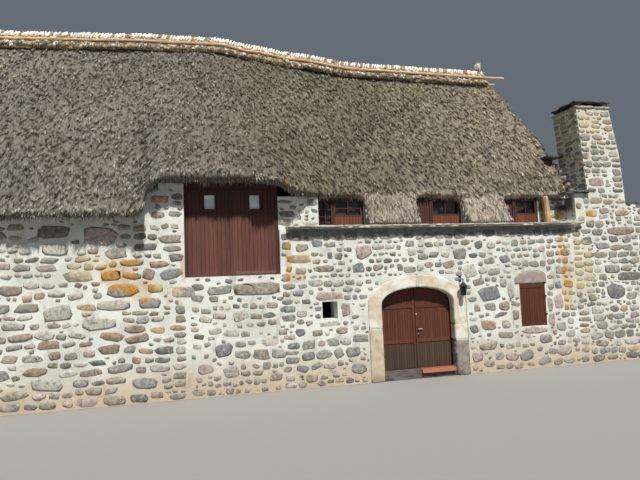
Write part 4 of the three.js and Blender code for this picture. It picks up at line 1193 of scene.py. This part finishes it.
def shadeOf(dice):
    light, green, blue = (dice.uniform(*plankShade[k]) for k in ("light", "green", "blue"))
    return (light, light * green, light * blue, 1.0)


def shaded(dice, *edges):
    return plank(*edges), shadeOf(dice)


def joinPlanks(name, planks, finish, body="house"):
    shapes = [shape for shape, shade in planks]
    copies = [(number, Matrix(), shade) for number, (shape, shade) in enumerate(planks)]
    return addPiece(name, joinCopies(name, shapes, copies), finish, body, smooth=False)


def boardsAcross(dice, x0, x1, wide, y0, y1, z0, z1, holes=()):
    # Upright boards side by side, cut round holes given as left, right, low and high
    planks = []
    count = max(1, round((x1 - x0) / wide))
    step = (x1 - x0) / count
    for number in range(count):
        left, right = x0 + number * step + 0.002, x0 + (number + 1) * step - 0.002
        shade = shadeOf(dice)
        parts = [(z0, z1)]
        for holeLeft, holeRight, holeLow, holeHigh in holes:
            if left < holeRight and right > holeLeft:
                parts = [(z0, holeLow), (holeHigh, z1)]
        planks += [(plank(left, right, y0, y1, low, high), shade) for low, high in parts]
    return planks


paneBar = {"half": 0.011, "uprightSet": 0.004, "levelSet": 0.006, "bevel": 0.003}


def paneFrame(dice, left, right, low, high, y0, y1, edge, bars):
    # A square frame round a pane, with its upright and level glazing bars
    rails = [(left - edge, right + edge, high, high + edge), (left - edge, right + edge, low - edge, low),
             (left - edge, left, low, high), (right, right + edge, low, high)]
    planks = [shaded(dice, x0, x1, y0, y1, z0, z1) for x0, x1, z0, z1 in rails]
    half, bevel = paneBar["half"], paneBar["bevel"]
    upright, level = bars
    for number in range(upright):
        x = left + (right - left) * (number + 1) / (upright + 1)
        planks.append(shaded(dice, x - half, x + half, y0 + paneBar["uprightSet"], y1, low, high, bevel))
    for number in range(level):
        z = low + (high - low) * (number + 1) / (level + 1)
        planks.append(shaded(dice, left, right, y0 + paneBar["levelSet"], y1, z - half, z + half, bevel))
    return planks


# Arched door: narrow boards between rails, the bottom third worn grey
archedDoor = {"half": 1.073, "spring": 1.92, "rise": 0.412, "boards": 14, "edge": 0.012, "foot": 0.055,
              "front": 0.289, "back": 0.302, "railFront": 0.272, "rails": [(0.77, 0.855), (1.75, 1.85)],
              "railEnds": (0.022, 1.062), "stile": (-0.088, -0.018), "gap": 0.003}


def archTop(x):
    share = max(0.0, 1 - (x / archedDoor["half"]) ** 2)
    return archedDoor["spring"] + archedDoor["rise"] * math.sqrt(share)


def makeArchedLeaf(side):
    name = "left" if side < 0 else "right"
    dice = random.Random(80 + side)
    setup = archedDoor
    front, railFront, foot = setup["front"], setup["railFront"], setup["foot"]
    step = (setup["half"] - setup["edge"]) / setup["boards"]
    planks = []
    for number in range(setup["boards"]):
        inner = setup["edge"] + number * step
        x0, x1 = sorted((side * inner, side * (inner + step - setup["gap"])))
        middle = (x0 + x1) / 2
        points = [(x0, foot), (x1, foot), (x1, archTop(x1)), (middle, archTop(middle)), (x0, archTop(x0))]
        board = outlined(points, lambda x, z: at(x, front, z), (0, setup["back"] - front, 0), 0.004)
        planks.append((board, shadeOf(dice)))
    for low, high in setup["rails"]:
        x0, x1 = sorted(side * end for end in setup["railEnds"])
        planks.append(shaded(dice, x0, x1, railFront, front + 0.002, low, high, 0.006))
    if side < 0:
        x0, x1 = setup["stile"]
        top = archTop(x0) - 0.01
        planks.append(shaded(dice, x0, x1, railFront - 0.004, front + 0.002, foot, top, 0.006))
    joinPlanks("arched_boards_" + name, planks, doorBoards, "door_leaf_" + name)


# Handle: a plate, and rods for spindle, lever, keyhole cover and bell. Each has its ends, radius and sides
def makeHandle():
    front = archedDoor["front"]
    plate = [(plank(0.06, 0.092, front - 0.006, front + 0.002, 0.9, 1.2, 0.003), white)]
    joinPlanks("handle_plate", plate, iron, "door_leaf_right")
    rods = [
        ((0.076, front, 1.15), (0.076, 0.24, 1.15), 0.01, 12),
        ((0.066, 0.24, 1.15), (0.13, 0.238, 1.152), 0.0125, 12),
        ((0.128, 0.238, 1.152), (0.196, 0.243, 1.145), 0.0115, 12),
        ((0.046, front + 0.002, 1.58), (0.046, front - 0.007, 1.58), 0.022, 16),
        ((0.076, front - 0.006, 1.02), (0.076, front - 0.012, 1.02), 0.013, 12),
    ]
    parts = [(rod(*values), white) for values in rods]
    piece = joinPlanks("handle_lever", parts, steel, "door_leaf_right")
    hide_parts("door_handle")


def makeThresholdBoard():
    section = [(-0.05, -0.05), (0.034, -0.05), (0.034, 0.043), (0.21, 0.043), (0.21, 0.064), (0.02, 0.056)]
    board = outlined(section, lambda y, z: at(0.02, y, z), (1.03, 0, 0), 0.005)
    joinPlanks("threshold_board", [(board, white)], terracotta)


# Barn door: wide boards, two small panes and a weatherboard on the right leaf
barnDoor = {"left": -6.293, "right": -3.987, "seam": -5.1, "board": 0.105, "front": 0.152, "back": 0.176,
            "low": 2.875, "high": 5.16, "panes": (-5.72, -4.53), "paneLow": 4.64, "paneHigh": 5.03,
            "paneHalf": 0.145, "paneEdge": 0.01, "gap": 0.003}


def makeBarnDoor():
    dice = random.Random(90)
    left, right, seam, front, back = (barnDoor[k] for k in ("left", "right", "seam", "front", "back"))
    low, high, half, edge, gap = (barnDoor[k] for k in ("low", "high", "paneHalf", "paneEdge", "gap"))
    holes = [(x - half, x + half, barnDoor["paneLow"], barnDoor["paneHigh"]) for x in barnDoor["panes"]]
    planks = []
    for x0, x1 in ((left, seam - gap), (seam + gap, right)):
        planks += boardsAcross(dice, x0, x1, barnDoor["board"], front, back, low, high, holes)
    for x0, x1, z0, z1 in holes:
        planks += paneFrame(dice, x0 + edge, x1 - edge, z0 + edge, z1 - edge, front - 0.006, back + 0.02,
                            0.035, (0, 0))
    planks.append(shaded(dice, seam - 0.03, seam + 0.012, front - 0.014, front + 0.002, low, high))
    sloped = [(front + 0.002, 2.88), (front - 0.045, 2.88), (front - 0.045, 2.9), (front + 0.002, 2.975)]
    board = outlined(sloped, lambda y, z: at(seam + 0.02, y, z), (right - seam - 0.03, 0, 0), 0.004)
    planks.append((board, shadeOf(dice)))
    joinPlanks("barn_boards", planks, barnBoards)


# Eyebrow windows: casements with bars over boarded panels, beside a narrow light
eyebrow = {"share": 0.36, "bar": 0.07, "panel": 0.33, "proud": 0.018, "deep": 0.03, "edge": 0.035,
           "narrowEdge": 0.03}
eyebrowStyles = {
    "upper_window_left": {"narrowBars": (1, 2), "narrowBoards": False, "bars": (1, 1)},
    "upper_window_middle": {"narrowBoards": True, "bars": (1, 0)},
    "upper_window_right": {"narrowBoards": True, "bars": (1, 0)},
}


def makeEyebrow(name, style, dice):
    low, high = nodeBox(name)
    split = low.x + (high.x - low.x) * eyebrow["share"]
    front, bar, edge = low.y, eyebrow["bar"], eyebrow["edge"]
    y0, y1 = front - eyebrow["proud"], front + eyebrow["deep"]
    sill = low.z + eyebrow["panel"]
    left, right = split + bar / 2 + edge, high.x - bar - edge
    planks = paneFrame(dice, left, right, sill + edge, high.z - bar - edge, y0, y1, edge, style["bars"])
    left, right = left - edge, right + edge
    panels = boardsAcross(dice, left, right, 0.085, y0 + 0.004, y1, low.z + 0.045, sill - 0.005)
    joinPlanks(name + "_panel", panels, panelBoards)
    planks.append(shaded(dice, left, right, y0 - 0.006, y1, low.z + 0.012, low.z + 0.055))
    left, right, bottom, top = low.x + bar, split - bar / 2, low.z + bar, high.z - bar
    if style["narrowBoards"]:
        planks += boardsAcross(dice, left + 0.002, right - 0.002, 0.08, front + 0.022, front + 0.045,
                               bottom, top)
    else:
        edge = eyebrow["narrowEdge"]
        planks += paneFrame(dice, left + edge, right - edge, bottom + edge, top - edge, y0, y1, edge,
                            style["narrowBars"])
    joinPlanks(name + "_bars", planks, windowBars)


# Plank shutters: the front one has a top rail, a thin bottom rail and iron hooks at three heights
shutterSetup = {"front": 0.02, "board": 0.082, "backBoard": 0.1, "margin": 0.01, "rail": 0.14, "half": 0.05,
                "hooks": (1.38, 1.92, 2.32), "pin": 0.012, "pinRadius": 0.011, "strap": 0.02}


def makeShutters():
    setup = shutterSetup
    dice = random.Random(95)
    low, high = nodeBox("window_shutter")
    front = low.y - setup["front"]
    planks = boardsAcross(dice, low.x + 0.004, high.x - 0.004, setup["board"], front, low.y + 0.004,
                          low.z, high.z)
    for proud, z0, z1 in ((0.014, high.z - 0.125, high.z - 0.005), (0.012, low.z + 0.005, low.z + 0.06)):
        planks.append(shaded(dice, low.x, high.x, front - proud, front + 0.003, z0, z1, 0.006))
    joinPlanks("shutter_boards", planks, shutterBoards)
    hooks = []
    pin, half = high.x + setup["pin"], setup["strap"]
    for z in setup["hooks"]:
        hooks.append((rod((pin, 0.03, z), (pin, -0.035, z), setup["pinRadius"], 8), white))
        hooks.append((plank(high.x - 0.05, high.x + 0.035, -0.012, 0.004, z - half, z + half), white))
    joinPlanks("shutter_hooks", hooks, iron, "house")
    margin, rail, half = setup["margin"], setup["rail"], setup["half"]
    for name in backShutters:
        low, high = nodeBox(name)
        planks = boardsAcross(dice, low.x + margin, high.x - margin, setup["backBoard"], high.y - 0.002,
                              high.y + 0.018, low.z + margin, high.z - margin)
        for z in (low.z + rail, high.z - rail):
            ends = (low.x + 0.02, high.x - 0.02)
            planks.append(shaded(dice, *ends, high.y + 0.016, high.y + 0.034, z - half, z + half))
        joinPlanks(name + "_boards", planks, redBoards)


# Rough slates: slabs with broken front edges, a little out of level
slateSetup = {"step": 0.12, "tilt": 0.006, "gap": 0.006, "least": 0.05, "stray": (-0.01, 0.02),
              "thick": (0.8, 1), "shade": (0.8, 1.2)}


def slab(dice, x0, x1, y0, y1, z0, thick, jitter=0.02, tilt=slateSetup["tilt"]):
    count = max(2, round((x1 - x0) / slateSetup["step"]))
    places = [x0 + (x1 - x0) * number / count for number in range(count + 1)]
    points = [(x, y0 + dice.uniform(-jitter, jitter)) for x in places]
    points += [(x, y1 + dice.uniform(-jitter, jitter) * 0.5) for x in reversed(places)]
    rise, lean = dice.uniform(-tilt, tilt), dice.uniform(0, tilt)
    middle = (x0 + x1) / 2

    def drawn(x, y):
        return at(x, y, z0 + (x - middle) * rise + (y - y0) * lean)
    return outlined(points, drawn, (0, 0, thick))


def slabRow(dice, x0, x1, y0, y1, z0, thick, wide, jitter=0.02):
    row = []
    x = x0
    while x < x1 - slateSetup["least"]:
        end = min(x1, x + dice.uniform(*wide))
        if x1 - end < wide[0] * 0.6:
            end = x1
        shade = dice.uniform(*slateSetup["shade"])
        front = y0 + dice.uniform(*slateSetup["stray"])
        deep = thick * dice.uniform(*slateSetup["thick"])
        row.append((slab(dice, x, end - slateSetup["gap"], front, y1, z0, deep, jitter),
                    (shade, shade, shade, 1)))
        x = end
    return row


def laySlates(dice, name, finish, rows, single=()):
    # Each row is its left, right, front, back and bottom, its thickness, the widths of its slabs and how
    # ragged they are. A single slab has a tilt in place of widths, and its shade comes first
    slabs = []
    for row in rows:
        slabs += slabRow(dice, *row)
    for shade, *values in single:
        slabs.append((slab(dice, *values), (shade, shade, shade, 1)))
    return joinPlanks(name, slabs, finish, "house")


def makeSlates():
    dice = random.Random(101)
    low, high = nodeBox("slate_ledge")
    piece = laySlates(dice, "ledge_slates", ledgeSlate, [
        (low.x, high.x, low.y + 0.01, 0.13, low.z, 0.036, (0.4, 1.0), 0.03),
        (low.x + 0.02, high.x, low.y - 0.04, 0.14, low.z + 0.038, 0.036, (0.35, 0.95), 0.035),
        (low.x + 0.9, high.x - 0.06, 0.13, 0.45, low.z + 0.01, 0.055, (0.5, 1.1)),
        (4.62, 5.6, -0.2, 0.32, high.z + 0.004, 0.036, (0.4, 0.7), 0.03),
        (4.95, 5.44, -0.12, 0.3, high.z + 0.05, 0.035, (0.3, 0.5), 0.03)])
    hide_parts("slate_ledge")
    low, high = nodeBox("drip_slate")
    piece = laySlates(dice, "drip_slates", slate, [
        (low.x - 0.05, high.x, low.y - 0.03, high.y, low.z, 0.035, (0.3, 0.6), 0.03),
        (low.x + 0.1, high.x + 0.04, low.y - 0.05, high.y - 0.02, low.z + 0.042, 0.04, (0.4, 0.6), 0.03),
        (low.x + 0.3, high.x, low.y + 0.01, high.y - 0.05, low.z + 0.09, 0.03, (0.3, 0.5), 0.03)])
    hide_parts("drip_slate")
    low, high = nodeBox("shoulder_slab")
    piece = laySlates(
        dice, "shoulder_slates", slate, [(low.x, high.x, low.y, high.y, low.z, 0.05, (0.25, 0.4), 0.03)],
        [(0.9, low.x + 0.02, high.x - 0.05, low.y + 0.08, high.y - 0.1, low.z + 0.052, 0.04, 0.04)])
    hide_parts("shoulder_slab")
    laySlates(dice, "verge_slate", slate, [], [(0.7, 5.28, 5.87, 0.85, 1.5, 6.42, 0.05, 0.04, 0.03)])


# Worn stones and posts: a CAD node remeshed fine, softened at its edges and roughened. Each has its finish,
# slot, size of faces, height of its lumps, rounds of softening and fineness of the lumps
wornNodes = {
    "arch_stone_left": (dressed, "dressed_stone", 0.032, 0.008, 3, 6.0),
    "arch_stone_right": (dressed, "dressed_stone", 0.032, 0.008, 3, 6.0),
    "jamb_stone_right_upper": (dressed, "dressed_stone", 0.032, 0.008, 3, 6.0),
    "jamb_stone_left": (jambStone, "dressed_stone", 0.032, 0.008, 3, 6.0),
    "jamb_stone_right_lower": (greyStone, "rubble_stone", 0.032, 0.03, 4, 5.0),
    "window_lintel": (pinkStone, "dressed_stone", 0.03, 0.015, 3, 6.0),
    "chimney_cap": (capStone, "dressed_stone", 0.034, 0.026, 2, 7.0),
    "chimney_hood": (hoodSlate, "slate", 0.03, 0.05, 2, 3.2),
    "window_post": (postWood, "pale_wood", 0.03, 0.02, 2, 4.0),
}
postLean = {"footRight": 0.09, "headBack": 0.07, "footWide": 1.04, "narrowing": 0.4}


def wornCopy(name, finish, slot, voxel, lumps, rounds, pitch):
    mesh = softBed(name, voxel)
    bm = bmesh.new()
    bm.from_mesh(mesh)
    axes = {"use_axis_x": True, "use_axis_y": True, "use_axis_z": True}
    for number in range(rounds):
        bmesh.ops.smooth_vert(bm, verts=bm.verts, factor=0.5, **axes)
    bm.to_mesh(mesh)
    bm.free()
    normals = [v.normal.copy() for v in mesh.vertices]
    for vertex, normal in zip(mesh.vertices, normals):
        rough = noise.fractal(vertex.co * pitch, 1.0, 2.0, 3) * lumps
        vertex.co += normal * rough
        vertex.co.z = max(vertex.co.z, 0.002)
    if name == "window_post":
        leanPost(mesh)
    mesh.update()
    piece = addPiece(name + "_worn", mesh, finish)
    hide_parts(name)


def leanPost(mesh):
    # The post is thinner at its head, and its foot stands a little further right
    low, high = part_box("window_post")
    middle = (low.x + high.x) / 2
    for vertex in mesh.vertices:
        share = (vertex.co.z - low.z) / (high.z - low.z)
        wide = postLean["footWide"] - postLean["narrowing"] * share
        leant = postLean["footRight"] - postLean["headBack"] * share
        vertex.co.x = middle + (vertex.co.x - middle) * wide + leant


def fillArchJoints():
    # Mortar fills the joints between the dressed stones of the arched doorway nearly flush
    half, rounded = 0.014, 0.016
    low, high = nodeBox("arch_stone_right")
    face, deep = low.y + 0.006, low.y + 0.1
    strips = [(plank(-half, half, face, deep, arch["inner"] + rounded, high.z - rounded), white)]
    for name in ("jamb_stone_left", "jamb_stone_right_upper", "jamb_stone_right_lower"):
        low, high = nodeBox(name)
        strip = plank(low.x + rounded, high.x - rounded, face, deep, high.z - half, high.z + half)
        strips.append((strip, white))
    joinPlanks("arch_joints", strips, mortar, "house")


makeArchedLeaf(-1)
makeArchedLeaf(1)
makeHandle()
makeThresholdBoard()
makeBarnDoor()
eyebrowDice = random.Random(97)
for windowName, windowStyle in eyebrowStyles.items():
    makeEyebrow(windowName, windowStyle, eyebrowDice)
makeShutters()
print("joinery made")
makeSlates()
for wornName, wornValues in wornNodes.items():
    wornCopy(wornName, *wornValues)
fillArchJoints()
print("slates and worn stones made")


# Floor and light
stage = {"size": 120, "drop": 0.004, "floor": (0.27, 0.266, 0.258, 1), "sky": (0.72, 0.86, 1.0, 1),
         "skyStrength": 0.18, "sun": 5.35, "sunWidth": 2.5, "sunColour": (1.0, 0.965, 0.9),
         "sunWay": (-0.06, 0.72, -1.0)}


def makeStage():
    bm = bmesh.new()
    bmesh.ops.create_grid(bm, x_segments=1, y_segments=1, size=stage["size"])
    bmesh.ops.translate(bm, verts=bm.verts, vec=(0, 0, -stage["drop"]))
    mesh = meshOf("floor", bm)
    mesh.materials.append(startFinish("pale_floor", {"Roughness": 0.9, "Base Color": stage["floor"]})[0])
    floor = linked("floor", mesh)
    world = bpy.data.worlds.new("studio")
    bpy.context.scene.world = world
    world.use_nodes = True
    sky = world.node_tree.nodes["Background"]
    sky.inputs["Color"].default_value = stage["sky"]
    sky.inputs["Strength"].default_value = stage["skyStrength"]
    data = bpy.data.lights.new("key", "SUN")
    data.energy = stage["sun"]
    data.angle = math.radians(stage["sunWidth"])
    data.color = stage["sunColour"]
    key = linked("key", data)
    key.rotation_euler = Vector(stage["sunWay"]).to_track_quat("-Z", "Y").to_euler()
    bpy.context.scene.view_settings.view_transform = "Standard"


makeStage()
